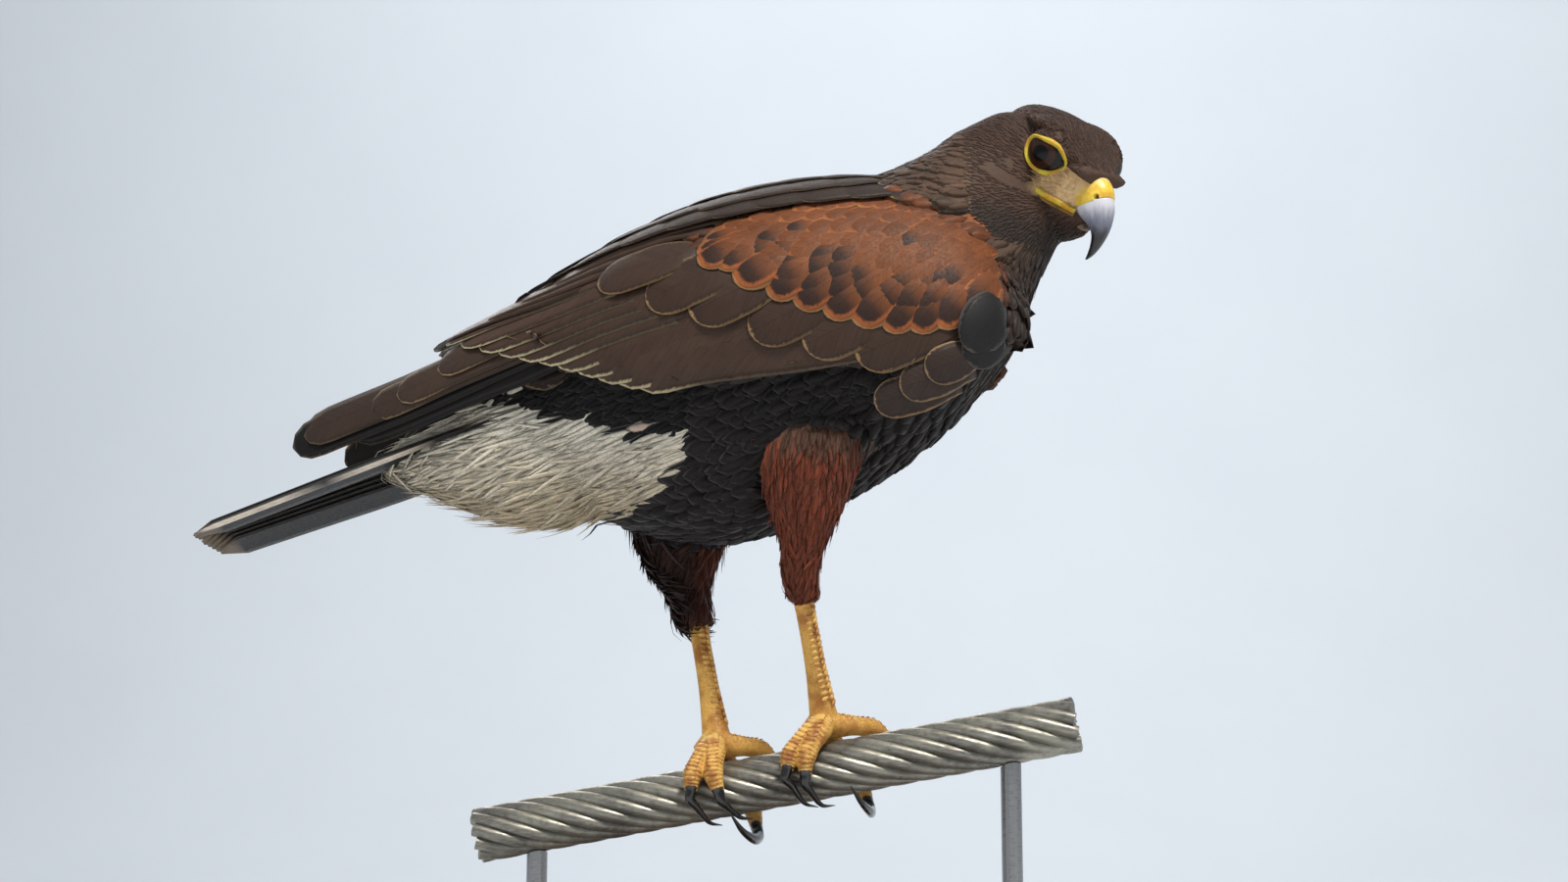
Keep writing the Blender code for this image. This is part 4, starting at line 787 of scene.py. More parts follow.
def vanes(name, middle, outward, half, thick, camber, columns, coat, fringe, patch, spread=0.0015):
    """Many vanes in one mesh. middle is (feathers, stations, 3); half and thick are (feathers, stations)."""
    count, stations, _ = middle.shape
    across = np.linspace(-1, 1, columns)
    way = units(np.gradient(middle, axis=1))
    side = units(np.cross(way, outward))
    out = units(np.cross(side, way))
    arch = 1 - across**2
    width = half[:, :, None] * across
    lift = (camber * half)[:, :, None] * arch
    body = (thick / 2)[:, :, None] * arch
    base = middle[:, :, None, :] + side[:, :, None, :] * width[..., None]
    top = base + out[:, :, None, :] * (lift + body)[..., None]
    under = base + out[:, :, None, :] * (lift - body)[..., None]
    top = top.reshape(count, -1, 3)
    inner = under[:, 1:-1, 1:-1].reshape(count, -1, 3)
    verts = np.concatenate([top, inner], 1)
    quads, per = vane_faces(stations, columns)
    faces = (quads[None] + (np.arange(count) * per)[:, None, None]).reshape(-1, 4)
    obj = mesh_object(name, verts.reshape(-1, 3), [faces])
    gone = np.cumsum(np.linalg.norm(np.diff(middle, axis=1), axis=2), axis=1)
    gone = np.concatenate([np.zeros((count, 1)), gone], 1)
    steps = gone / gone[:, -1:]

    def spread_out(grid):
        """Values on the upper grid, followed by those of the lower one."""
        lower = grid[:, 1:-1, 1:-1]
        upper = grid.reshape(count, stations * columns, -1)
        return np.concatenate([upper, lower.reshape(count, inner.shape[1], -1)], 1)

    near_tip = np.clip(1 - (gone[:, -1:] - gone) / half.max(1, keepdims=True), 0, 1)[:, :, None]
    rim = np.maximum(np.abs(across)[None, None], near_tip)
    attribute(obj, "rim", spread_out(rim[..., None]).ravel(), "FLOAT")
    for key, value in (("coat", coat), ("fringe", fringe)):
        value = np.asarray(value, float)
        if value.ndim == 2:
            value = value[:, None, :]
        value = np.broadcast_to(value, (count, stations, value.shape[-1]))
        if value.shape[-1] == 3:
            value = np.concatenate([value, np.ones((count, stations, 1))], -1)
        grid = np.broadcast_to(value[:, :, None, :], (count, stations, columns, 4))
        attribute(obj, key, spread_out(np.ascontiguousarray(grid)).ravel())
    lay = np.stack(np.broadcast_arrays(width * 100, gone[:, :, None] * 100), -1)
    if patch.shape[1] == 2:
        patch = np.concatenate([patch, np.full((count, 2), 2 * spread)], 1)
    size = patch[:, None, None, 2:]
    place = np.stack(np.broadcast_arrays(across[None, None, :] * 0.5, steps[:, :, None] - 0.5), -1)
    bake = patch[:, None, None, :2] + place * size
    index = np.empty(len(obj.data.loops), np.int32)
    obj.data.loops.foreach_get("vertex_index", index)
    for key, grid in (("lay", lay), ("OFBake", np.broadcast_to(bake, (count, stations, columns, 2)))):
        flat = spread_out(np.ascontiguousarray(np.broadcast_to(grid, (count, stations, columns, 2)))).reshape(-1, 2)
        layer = obj.data.uv_layers.new(name=key)
        layer.data.foreach_set("uv", flat[index].astype(np.float32).ravel())
    print(name, "feathers", count, "triangles", len(faces) * 2)
    return obj


def cells(count):
    """A sheet of side by side cells, one for each large vane: middle and size."""
    columns = int(math.ceil(math.sqrt(count * 0.4)))
    rows = int(math.ceil(count / columns))
    i = np.arange(count)
    size = np.array([0.90 / columns, 0.90 / rows])
    middle = np.stack([(i % columns + 0.5) / columns, (i // columns + 0.5) / rows], 1)
    return np.concatenate([middle, np.broadcast_to(size, (count, 2))], 1)


print("one small vane has", len(vane_faces(4, 3)[0]) * 2, "triangles")


# %% [markdown]
# ## The finish of a feather
# A feather's vane is made of barbs that slant from the shaft to the tip, so the finish draws fine slanted lines
# in colour and bump, a shaft in the middle and a fringe that is worn and pale. The colours themselves are
# stored on the feathers, where the markings are decided.


# %% Feather finish
def feather_finish(name, rough=0.62, barbs=20.0, fringe_from=0.84, fringe_to=0.95, sheen=0.06, bump=0.14,
                   pale=0.0, deep=(0.56, 0.50, 0.47)):
    made = Finish(name, rough, Sheen_Weight=sheen, Sheen_Roughness=0.45, Specular_IOR_Level=0.30)
    # The barbs shade one another, so a coat is deeper in colour than one loose feather
    coat = made.mix(1.0, made.read("coat", "Color"), deep, "MULTIPLY")
    fringe = made.node("Attribute", {"attribute_name": "fringe"})
    rim = made.read("rim")
    lay = made.node("SeparateXYZ", None, Vector=made.node("UVMap", {"uv_map": "lay"}).outputs[0])
    here = made.node("SeparateXYZ", None, Vector=made.node("TexCoord").outputs["Object"])
    across = made.sum("ABSOLUTE", lay.outputs[0])
    fine = made.noise(900.0, 2.0)
    broad = made.noise(70.0, 4.0)
    slant = made.sum("SUBTRACT", lay.outputs[1], made.sum("MULTIPLY", across, 1.1))
    bent = made.sum("MULTIPLY_ADD", broad, 0.25, slant)
    barb = made.sum("SINE", made.sum("MULTIPLY", bent, 6.283 * barbs))
    # Barbs hang together in strands, which part here and there
    strand_place = made.node("CombineXYZ", None, X=made.sum("MULTIPLY", bent, 7.0), Y=made.sum("MULTIPLY", across, 0.7),
                             Z=made.sum("MULTIPLY", here.outputs[2], 60.0))
    strand = made.noise(1.0, 5.0, 0.65, coords=strand_place.outputs[0])
    ragged = made.sum("MULTIPLY_ADD", strand, 0.30, made.sum("SUBTRACT", rim, 0.15))
    worn = made.sum("MULTIPLY", made.step(ragged, fringe_from, fringe_to), fringe.outputs["Alpha"])
    base = made.shaded(made.step(broad, 0.35, 0.70, 0.0, 0.35), coat, (0.55, 0.52, 0.50))
    base = made.shaded(made.step(strand, 0.40, 0.66, 0.0, 0.5), base, (0.52, 0.48, 0.46))
    base = made.shaded(made.step(barb, -0.2, 1.0, 0.0, 0.10), base, (0.45, 0.42, 0.40))
    shaft = made.step(across, 0.012, 0.040, 0.35, 0.0)
    base = made.shaded(shaft, base, (0.35, 0.30, 0.28))
    edge = fringe.outputs["Color"]
    if pale:
        edge = made.mix(made.step(rim, 0.84, 0.93, 0.0, pale), edge, tone(184, 146, 98))
    made.colour(made.mix(worn, base, edge))
    made.rough(made.step(fine, 0.3, 0.8, rough - 0.10, rough + 0.12))
    made.bump(made.sum("MULTIPLY_ADD", strand, 3.0, barb), bump, 0.00016)
    return made


flight_finish = feather_finish("flight_feather", 0.50, 14.0, 0.86, 0.96, 0.06, 0.14)
covert_finish = feather_finish("wing_covert", 0.58, 16.0, 0.86, 0.95)
patch_finish = feather_finish("shoulder_patch", 0.62, 16.0, 0.55, 0.74, 0.04, pale=0.85, deep=(0.62, 0.58, 0.55))
body_finish = feather_finish("body_feather", 0.68, 22.0, 0.60, 0.98, 0.05, 0.10, deep=(0.74, 0.62, 0.60))
down_finish = feather_finish("loose_down", 0.80, 26.0, 0.50, 0.98, 0.10, 0.06, deep=(1.0, 1.0, 1.0))
print("five feather finishes")

# %% [markdown]
# ## Bare places on the head
# No feathers grow on the ring round the eye, on the cere at the root of the bill, or along the yellow gape.
# The lores, between eye and bill, are pale skin with only fine bristles. These masks are in the head's own
# axes, so they turn with the head.

# %% Bare places
GAPE = ((0.0010, -0.0070), (0.0090, -0.0092), (0.0170, -0.0108), (0.0240, -0.0116))
LORES = tone(236, 200, 146)


def head_side(ahead, up):
    """How far out the head's surface is at this place on its side."""
    top, bottom, half = np.moveaxis(along(HEAD, ahead), -1, 0)
    mid = 0.45 * top + 0.55 * bottom + 0.0015
    part = np.where(up > mid, (up - mid) / (top - mid), (mid - up) / (mid - bottom))
    return half * np.clip(1 - np.clip(part, 0, 1) ** HEAD_SQUARE, 0, 1) ** (1 / HEAD_SQUARE)


def lore_part(local):
    """1 on the pale skin between eye and bill, 0 away from it."""
    f, u, r = local.T
    across = smoothstep(0.0105, 0.0150, f) * smoothstep(0.0335, 0.0300, f)
    band = smoothstep(-0.0125, -0.0100, u) * smoothstep(0.0068, 0.0035, u)
    return across * band * (np.abs(r) > 0.003) * (np.abs(r) < head_side(f, u) + 0.0015)


def bare(points):
    """True where nothing grows: eye ring, cere and gape."""
    local = in_head(points)
    f, u, r = local.T
    out = (f > 0.0225) & (u > -0.0155) & (u < 0.0066) & (np.abs(r) < 0.0120)
    for side in (1, -1):
        reach, _, past = round_eye(points, side)
        out |= (reach < 0.020) & (past < 0.11) & (r * side > 0)
    gape_up = np.interp(f, [g[0] for g in GAPE], [g[1] for g in GAPE])
    out |= (f > 0.002) & (f < 0.030) & (np.abs(u - gape_up + 0.0004) < 0.0017) & (np.abs(r) > 0.004)
    return out


print("lores width", round(float(head_side(0.018, -0.002)) * 2000, 1), "mm")

# %% [markdown]
# ## The markings
# The bird is dark brown above with paler worn edges. Breast and belly are almost black, dark brown deepened
# by painted shade. It is rufous on shoulders and thighs, cream under the tail and black on the tail. Painted shade also
# darkens the far thigh, and painted shadow of the wing darkens the flank and the near thigh's upper front. Skin and
# coat read the same table, so nothing shows through in another colour.

# %% Markings
CROWN = tone(82, 60, 48)
NECK = tone(104, 84, 66)
THROAT = tone(34, 28, 26)
BACK = tone(70, 55, 47)
PALE_EDGE = tone(150, 124, 92)
BELLY_AND_SHADE = tone(32, 29, 31)
FLANK_AND_WING_SHADOW = tone(24, 20, 22)
CREAM = tone(250, 242, 222)
CREAM_SHADE = tone(204, 180, 136)
RUFOUS = tone(150, 88, 46)
THIGH_RUFOUS = tone(146, 74, 44)
THIGH_WING_SHADOW = tone(44, 27, 24)
THIGH_TOP = tone(104, 84, 68)
SHADED_FAR_THIGH = tone(62, 38, 30)
WING_BROWN = tone(92, 72, 60)
WING_DARK = tone(62, 48, 42)
WORN_WHITE = tone(240, 222, 176)
THUMB_DARK_AND_SKY_REFLECTION = tone(40, 41, 45)
TAIL_BLACK = tone(30, 27, 30)


def blend(a, b, part):
    part = np.asarray(part, float)[..., None]
    return np.asarray(a) * (1 - part) + np.asarray(b) * part


def markings(points, label):
    """The coat's own colour at each point, before each feather's small change."""
    station, height, _, _ = body_place(points)
    local = in_head(points)
    x, y, z = points.T
    # The underside is painted much darker than the back: dark brown plumage deepened by painted shade
    colour = blend(BELLY_AND_SHADE, BACK, smoothstep(0.55, 0.75, height))
    front = smoothstep(0.40, 0.10, height)
    neck = blend(blend(NECK, THROAT, front), BACK, smoothstep(0.70, 0.95, height) * 0.5)
    on = label == "neck"
    colour[on] = blend(colour, neck, smoothstep(0.56, 0.70, station))[on]
    on = label == "head"
    head = blend(CROWN, NECK, smoothstep(0.004, -0.020, local[:, 1]) * smoothstep(0.012, -0.014, local[:, 0]))
    head = blend(head, THROAT, smoothstep(-0.016, -0.026, local[:, 1]) * 0.85)
    head = blend(head, LORES, lore_part(local))
    colour[on] = head[on]
    on = np.isin(label, ("vent",))
    colour[on] = blend(CREAM, CREAM_SHADE, smoothstep(0.238, 0.198, z) * 0.8)[on]
    # The flank under the wing is painted black: dark plumage deepened by painted shadow of the wing
    on = label == "flank"
    colour[on] = FLANK_AND_WING_SHADOW
    on = label == "thigh_right"
    # Painted shadow of the wing: the near thigh's upper front is darkened
    low = blend(THIGH_RUFOUS, THIGH_WING_SHADOW, smoothstep(0.232, 0.244, z) * smoothstep(0.020, 0.034, x) * 0.8)
    low = blend(low, THIGH_TOP, smoothstep(0.2230, 0.2310, z) * 0.9)
    colour[on] = low[on]
    on = label == "thigh_left"
    # The far thigh is painted darker as painted shade, less so towards its front
    colour[on] = blend(SHADED_FAR_THIGH, THIGH_RUFOUS, smoothstep(-0.046, -0.030, x) * 0.5)[on]
    on = label == "rump"
    colour[on] = CREAM
    on = label == "wing"
    shoulder = smoothstep(0.262, 0.285, z) * smoothstep(-0.05, 0.0, x) * smoothstep(0.104, 0.092, x)
    colour[on] = blend(WING_DARK, RUFOUS, shoulder)[on]
    return colour


skin_label = tracts(graph_verts)
attribute(skin, "coat", np.concatenate([markings(graph_verts, skin_label), np.ones((len(graph_verts), 1))], 1))
hide = Finish("skin_under_the_coat", 0.8)
coat, fine = hide.read("coat", "Color"), hide.noise(600.0, 4.0)
hide.colour(hide.mix(hide.step(fine, 0.3, 0.7), hide.mix(1.0, coat, (0.66, 0.63, 0.60), "MULTIPLY"), coat))
hide.rough(hide.step(fine, 0.2, 0.8, 0.65, 0.9))
hide.bump(fine, 0.5, 0.0006)
dress(skin, hide)
print("skin painted with", len(set(skin_label)), "tracts")

# %% [markdown]
# ## Growing the small feathers
# Roots are scattered over each tract with an even distance between them, as follicles are. Each feather then
# walks over the skin in short steps along its lie, held to the surface, and lifts a little towards its tip, so
# that it lies over the next one like a shingle.


# %% Scatter and walk
def roots(names, spacing, seed):
    """Evenly spread points on the given tracts, with the skin's normal at each."""
    pick = np.random.default_rng(seed)
    chosen = np.flatnonzero(np.isin(triangle_label, names))
    share = areas[chosen]
    wanted = int(share.sum() / spacing**2 * 5)
    chosen = pick.choice(chosen, wanted, p=share / share.sum())
    a, b = pick.random((2, wanted))
    flip = a + b > 1
    a[flip], b[flip] = 1 - a[flip], 1 - b[flip]
    c = corners[chosen]
    points = c[:, 0] + (c[:, 1] - c[:, 0]) * a[:, None] + (c[:, 2] - c[:, 0]) * b[:, None]
    keys = np.floor(points / spacing).astype(int)
    taken, kept = {}, []
    around = [(i, j, k) for i in (-1, 0, 1) for j in (-1, 0, 1) for k in (-1, 0, 1)]
    for n, (p, key) in enumerate(zip(points.tolist(), map(tuple, keys.tolist()))):
        free = True
        for i, j, k in around:
            for q in taken.get((key[0] + i, key[1] + j, key[2] + k), ()):
                if (p[0] - q[0]) ** 2 + (p[1] - q[1]) ** 2 + (p[2] - q[2]) ** 2 < spacing * spacing:
                    free = False
                    break
            if not free:
                break
        if free:
            taken.setdefault(key, []).append(p)
            kept.append(n)
    return points[kept], flat_normals[chosen[kept]]


def held(points):
    """The nearest places on the skin and its normals there."""
    places, normals = np.empty_like(points), np.empty_like(points)
    for i, p in enumerate(points):
        place, normal, _, _ = skin_tree.find_nearest(Vector(p))
        places[i], normals[i] = place, normal
    return places, normals


def walk(start, lie, length, stations, lifts):
    """Paths over the skin from each start, and the way out at each step."""
    count = len(start)
    middle = np.empty((count, stations, 3))
    outward = np.empty((count, stations, 3))
    p, way = start.copy(), lie.copy()
    for k in range(stations):
        place, normal = held(p)
        if k:
            normal = units(outward[:, k - 1] * 0.5 + normal * 0.5)
        way = units(way - normal * (way * normal).sum(-1, keepdims=True))
        outward[:, k] = normal
        middle[:, k] = place + normal * lifts[:, k][:, None]
        p = place + way * (length / (stations - 1))[:, None]
    return middle, outward


def leaf(stations, widest=0.55, root=0.5, tip=0.30):
    """Half widths along a feather with a rounded tip, as parts of the widest."""
    s = np.linspace(0, 1, stations)
    rise = root + (1 - root) * smoothstep(0, widest, s)
    fall = np.sqrt(np.clip(1 - ((s - widest) / (1.0001 - widest)) ** 2, 0, 1))
    return np.where(s < widest, rise, np.maximum(fall, tip))


print("scatter and walk are ready")

# %% [markdown]
# ## An unwrap of the skin
# Each small feather gets its colours from a tiny patch on a sheet. The patch lies where the feather's root is on
# an unwrap of the skin: round each form one way and along it the other way.


# %% Unwrap and growing
def unwrap(points, label):
    """A place from 0 to 1 on an unwrap of the skin: round each form and along it."""
    station, height, angle, _ = body_place(points)
    place = np.stack([angle / (2 * math.pi) + 0.5, station], 1)
    local = in_head(points)
    on = label == "head"
    round_head = np.arctan2(local[:, 2], local[:, 1] + 0.006) / (2 * math.pi) + 0.5
    place[on] = np.stack([round_head, (local[:, 0] + 0.034) / 0.068], 1)[on]
    for start, which in ((0.0, "right"), (0.5, "left")):
        on = label == "thigh_" + which
        x, y, _, _ = thigh_at(which, points[:, 2])
        turn = np.arctan2(points[:, 1] - y, points[:, 0] - x) / (2 * math.pi) + 0.5
        place[on] = np.stack([start + turn * 0.5, (points[:, 2] - 0.164) / 0.086], 1)[on]
    on = label == "wing"
    turn = wing_angle(points[:, 0], points[:, 2]) / math.pi * 0.5 + 0.5 * (points[:, 1] > 0)
    place[on] = np.stack([(points[:, 0] + 0.13) / 0.25, turn], 1)[on]
    return np.clip(place, 0, 1) * 0.992 + 0.004


def grow(name, names, spacing, length, half, tip_lift, finish, seed, stations=5, widest=0.55, tip=0.3,
         jitter=0.18, thick=0.00045, camber=0.25, fringe=PALE_EDGE, strength=0.5, flick=0.0, size=None,
         keep=None, uneven=0.14, sink=0.0007):
    """One coat piece: small feathers rooted evenly over the named tracts."""
    start, normal = roots(names, spacing, seed)
    if keep is not None:
        chosen = keep(start)
        start, normal = start[chosen], normal[chosen]
    label = tracts(start)
    pick = np.random.default_rng(seed + 1)
    count = len(start)
    lie = lies(start, normal, label)
    side = np.cross(lie, normal)
    turn = pick.normal(0, jitter, count)[:, None]
    lie = units(lie * np.cos(turn) + side * np.sin(turn))
    scale = np.ones(count) if size is None else size(start)
    reach = length * scale * pick.uniform(0.82, 1.18, count)
    steps = np.linspace(0, 1, stations)
    rise = tip_lift * scale * pick.uniform(0.6, 1.4, count) + flick * pick.random(count) ** 5
    lifts = (rise[:, None] + sink) * steps[None, :] ** 1.1 - sink
    middle, outward = walk(start, lie, reach, stations, lifts)
    wide = (half * scale * pick.uniform(0.85, 1.15, count))[:, None] * leaf(stations, widest, 0.55, tip)[None, :]
    deep = np.full((count, stations), thick) * np.linspace(1.0, 0.5, stations)
    shade = pick.normal(1.0, uneven, count).clip(0.6, 1.5)[:, None]
    coat = markings(start, label) * shade
    edge = np.broadcast_to(np.asarray(fringe, float), (count, 3)) * shade
    edge = np.concatenate([edge, np.full((count, 1), strength)], 1)
    made = vanes(name, middle, outward, wide, deep, camber, 3, coat, edge, unwrap(start, label))
    return dress(made, finish)


print("small feathers can grow")

# %% [markdown]
# ## Head and neck
# The crown and face carry the smallest feathers, hardly half a centimetre long, streaming back from the bill.
# They lengthen down the neck, where pale edges make the soft, streaky look of the photograph.

# %% Head and neck coat


def face_size(points):
    local = in_head(points)
    near_bill = smoothstep(0.030, -0.022, local[:, 0])
    near_eye = np.ones(len(points))
    for side in (1, -1):
        _, _, past = round_eye(points, side)
        near_eye = np.where(local[:, 2] * side > 0, smoothstep(-0.05, 0.60, past), near_eye)
    return (0.60 + 0.40 * near_bill) * (0.62 + 0.38 * near_eye)


def not_bare(points):
    return ~bare(points) & (lore_part(in_head(points)) < 0.5)


def neck_size(points):
    station = body_place(points)[0]
    return 1.15 - 0.55 * smoothstep(0.66, 0.92, station)


grow("head_feathers", ["head"], 0.00118, 0.0076, 0.00110, 0.00030, body_finish, 101, stations=5, tip=0.25,
     thick=0.00022, strength=0.35, fringe=tone(124, 98, 76), size=face_size, keep=not_bare, jitter=0.12,
     camber=0.15, uneven=0.10, sink=0.00015)
grow("neck_feathers", ["neck"], 0.0017, 0.0125, 0.0021, 0.0007, body_finish, 111, stations=6, tip=0.25,
     strength=0.35, fringe=tone(118, 96, 74), jitter=0.14, flick=0.0005, size=neck_size, thick=0.00022,
     camber=0.08, sink=0.0002)

# %% [markdown]
# ## Breast, belly and back
# These are broader, rounder feathers. On the breast they are nearly black, dark brown deepened by painted shade,
# and lie so close that they read as one soft surface. On the back they show their worn edges.

# %% Trunk coat
grow("breast_feathers", ["breast"], 0.0036, 0.0165, 0.0040, 0.0020, body_finish, 121, stations=6,
     strength=0.22, fringe=tone(70, 58, 50), jitter=0.12)
grow("back_feathers", ["back"], 0.0050, 0.0210, 0.0064, 0.0022, covert_finish, 131, stations=7,
     strength=0.65, fringe=tone(140, 116, 88), jitter=0.10)
grow("rump_feathers", ["rump"], 0.0036, 0.0165, 0.0036, 0.0010, down_finish, 141, stations=6,
     strength=0.3, fringe=CREAM, jitter=0.20)
grow("wing_base_feathers", ["wing"], 0.0044, 0.0150, 0.0046, 0.0016, covert_finish, 151, stations=6,
     strength=0.35, fringe=tone(120, 96, 70), jitter=0.12)

# %% [markdown]
# ## Vent and undertail
# Behind the legs the feathers are long, soft and cream, and the wind lifts some of them. Narrow blades with
# loose tips, in two layers, give that fluff without a solid edge.

# %% Loose cream coat


def free_of_wing(points):
    """False where the folded wing covers the skin, so that no wisp pierces its feathers."""
    edge = along(WING_EDGE, points[:, 0])[:, 0]
    return points[:, 2] < edge - 0.020


grow("vent_feathers", ["vent"], 0.00190, 0.0260, 0.00135, 0.0020, down_finish, 161, stations=6, widest=0.4,
     tip=0.12, jitter=0.10, thick=0.00018, camber=0.04, strength=0.2, fringe=CREAM, flick=0.0020, uneven=0.04)
grow("vent_wisps", ["vent"], 0.0034, 0.0330, 0.0009, 0.0034, down_finish, 171, stations=7, widest=0.3,
     tip=0.06, jitter=0.20, thick=0.00018, camber=0.04, strength=0.2, fringe=CREAM, flick=0.0050,
     uneven=0.04, keep=free_of_wing)
# Flank feathers, black with black edges: dark plumage deepened by painted shadow of the wing
grow("flank_feathers", ["flank"], 0.0030, 0.0140, 0.0024, 0.0012, body_finish, 176, stations=6,
     strength=0.2, fringe=FLANK_AND_WING_SHADOW, thick=0.0003, camber=0.1)

# %% [markdown]
# ## Thighs
# The near thigh has narrow, hair-like feathers, dark brown at the top and rufous below, with painted shadow of the
# wing on its upper front. The far one is painted darker as painted shade, with a ragged fringe behind. Each feather
# hangs down over the top of the leg.

# %% Thigh coat


def behind_thigh(points):
    """True on the back of the far thigh, where the long fringe grows."""
    x, _, z = points.T
    middle, _, reach, _ = thigh_at("left", z)
    return (x < middle - 0.35 * reach) & (z < 0.226) & (z > 0.168)


grow("thigh_feathers_right", ["thigh_right"], 0.00165, 0.0130, 0.0010, 0.0009, body_finish, 181,
     stations=6, widest=0.4, tip=0.12, jitter=0.16, strength=0.25, fringe=tone(176, 98, 54),
     flick=0.0018, uneven=0.14, thick=0.0003, camber=0.12, sink=0.0003)
# The far thigh's feathers and fringe have darker edges, painted shade
grow("thigh_feathers_left", ["thigh_left"], 0.00185, 0.0160, 0.0011, 0.0012, body_finish, 191,
     stations=6, widest=0.4, tip=0.10, jitter=0.20, strength=0.25, fringe=tone(84, 54, 38),
     flick=0.0030, uneven=0.16, thick=0.0003, camber=0.12)
grow("thigh_fringe", ["thigh_left"], 0.00125, 0.0300, 0.0011, 0.0045, body_finish, 195, stations=7,
     widest=0.3, tip=0.08, jitter=0.12, thick=0.0002, camber=0.05, strength=0.2,
     fringe=tone(60, 44, 38), flick=0.0035, uneven=0.16, keep=behind_thigh)

# %% [markdown]
# ## The folded wing
# A folded wing is a stack of tiers: long primaries below, then secondaries and tertials, then greater, median
# and lesser coverts, each tier shorter and lying over the roots of the one below. Every feather is laid on the
# wing's own curve from a root to a tip, both given as length and height seen from the side.


# %% Wing feather paths
def wing_paths(side, feathers, stations):
    """Paths on the folded wing. Each feather is root, tip, half width, lifts, tilt."""
    steps = 1 - (1 - np.linspace(0, 1, stations)) ** 1.6
    middles, outs, halves = [], [], []
    for root, tip, half, lifts, tilt in feathers:
        (rx, rz), (tx, tz) = root, tip
        if side > 0:
            rx, tx = rx - 1.6 * left_back(rx), tx - 1.6 * left_back(tx)
        rz = min(rz, along(WING, rx)[0] - 0.0008)
        a0, a1 = float(wing_angle(rx, rz)), float(wing_angle(tx, tz))
        x, a = rx + (tx - rx) * steps, a0 + (a1 - a0) * steps
        rise = np.interp(steps, (0, 0.16, 1), lifts)
        p = wing_at(x, a, rise, side)
        dx = (wing_at(x + 1e-3, a, rise, side) - p) * 1e3
        da = (wing_at(x, a + 1e-3, rise, side) - p) * 1e3
        n = units(np.cross(dx, da))
        n = n * np.sign(n[:, 1] * side)[:, None]
        way = units(np.gradient(p, axis=0))
        across = units(np.cross(way, n))
        n = units(n - across * tilt * side)
        middles.append(p)
        outs.append(n)
        wide = half * (0.60 + 0.40 * smoothstep(0, 0.5, steps))
        # A rounded end: the last stretch, as long as the feather is half wide, is an ellipse
        left = np.linalg.norm(p[-1] - p[0]) * (1 - steps) / (1.15 * half)
        halves.append(wide * np.sqrt(np.clip(1 - (1 - np.clip(left, 0, 1)) ** 2, 0.006, 1)))
    return np.array(middles), np.array(outs), np.array(halves)


def flight(name, side, feathers, coat, fringe, finish, stations=14, columns=7, thick=0.0007, camber=0.10):
    middle, outward, half = wing_paths(side, feathers, stations)
    deep = np.full(half.shape, thick) * np.linspace(1, 0.45, stations)
    made = vanes(name, middle, outward, half, deep, camber, columns, coat, fringe, cells(len(feathers)))
    return dress(made, finish)


def reading(line, s):
    """A point at part s along a polyline of evenly counted points."""
    line = np.array(line, float)
    u = s * (len(line) - 1)
    return np.array([np.interp(u, np.arange(len(line)), line[:, i]) for i in (0, 1)])


def shades(count, colour, seed, uneven=0.08):
    pick = np.random.default_rng(seed)
    return np.asarray(colour) * pick.normal(1.0, uneven, (count, 1)).clip(0.75, 1.3)


def with_strength(colours, strength):
    colours = np.asarray(colours, float)
    return np.concatenate([colours, np.broadcast_to(np.asarray(strength, float).reshape(-1, 1), (len(colours), 1))], 1)


print("wing paths are ready")

# %% [markdown]
# ## The flight feathers
# In a folded wing the long quills slide over each other like a closed fan. They are laid from the lowest, the
# outer primaries, to the highest, the tertials, each a little above the last, so that no two lie in one plane.

# %% Primaries, secondaries and tertials
SIDES = (("right", -1), ("left", 1))


PRIMARY_TIPS = ((-0.1900, 0.2385), (-0.2168, 0.2330), (-0.2120, 0.2385), (-0.1804, 0.2478), (-0.1684, 0.2535),
                (-0.1498, 0.2640))
SECONDARIES, TERTIALS = 12, 5


def primary_row(side):
    made = []
    for i, (x, z) in enumerate(PRIMARY_TIPS):
        back = LEFT_TIP_BACK if side > 0 else 0.0
        lift = -0.0052 + 0.0010 * i
        root = (x + 0.140 - 0.006 * i, z + 0.0470 - 0.0010 * i)
        made.append((root, (x + back, z), 0.0104 if i < 3 else 0.0088, (-0.0060, lift, lift), 0.0))
    return made


def secondary_row():
    made = []
    for i in range(SECONDARIES):
        s = i / (SECONDARIES - 1)
        x = -0.158 + 0.098 * s
        z = float(along(WING_EDGE, x)[0]) + 0.0050 + 0.0030 * s
        reach = 0.120 + 0.020 * s
        root = (x + reach, z + reach * math.tan(math.radians(15 - 9.0 * s)))
        made.append((root, (x, z), 0.0112, (-0.0030, 0.0002, 0.0010), 0.05))
    for j in range(TERTIALS):
        x, z = -0.150 + 0.015 * j, 0.2790 + 0.0072 * j
        made.append(((x + 0.085, z + 0.024 - 0.001 * j), (x, z), 0.0115, (-0.0020, 0.0012, 0.0018), 0.03))
    return made


def tip_fringe(colours, strength, along_side=0.12, stations=14):
    """A fringe that is worn pale round the tip and hardly shows along the sides."""
    s = np.linspace(0, 1, stations)
    part = along_side + (1 - along_side) * smoothstep(0.60, 0.78, s)
    count = len(colours)
    value = np.broadcast_to(np.asarray(strength, float).reshape(-1, 1), (count, 1)) * part[None, :]
    tints = np.broadcast_to(np.asarray(colours)[:, None, :], (count, stations, 3))
    return np.concatenate([tints, value[..., None]], -1)


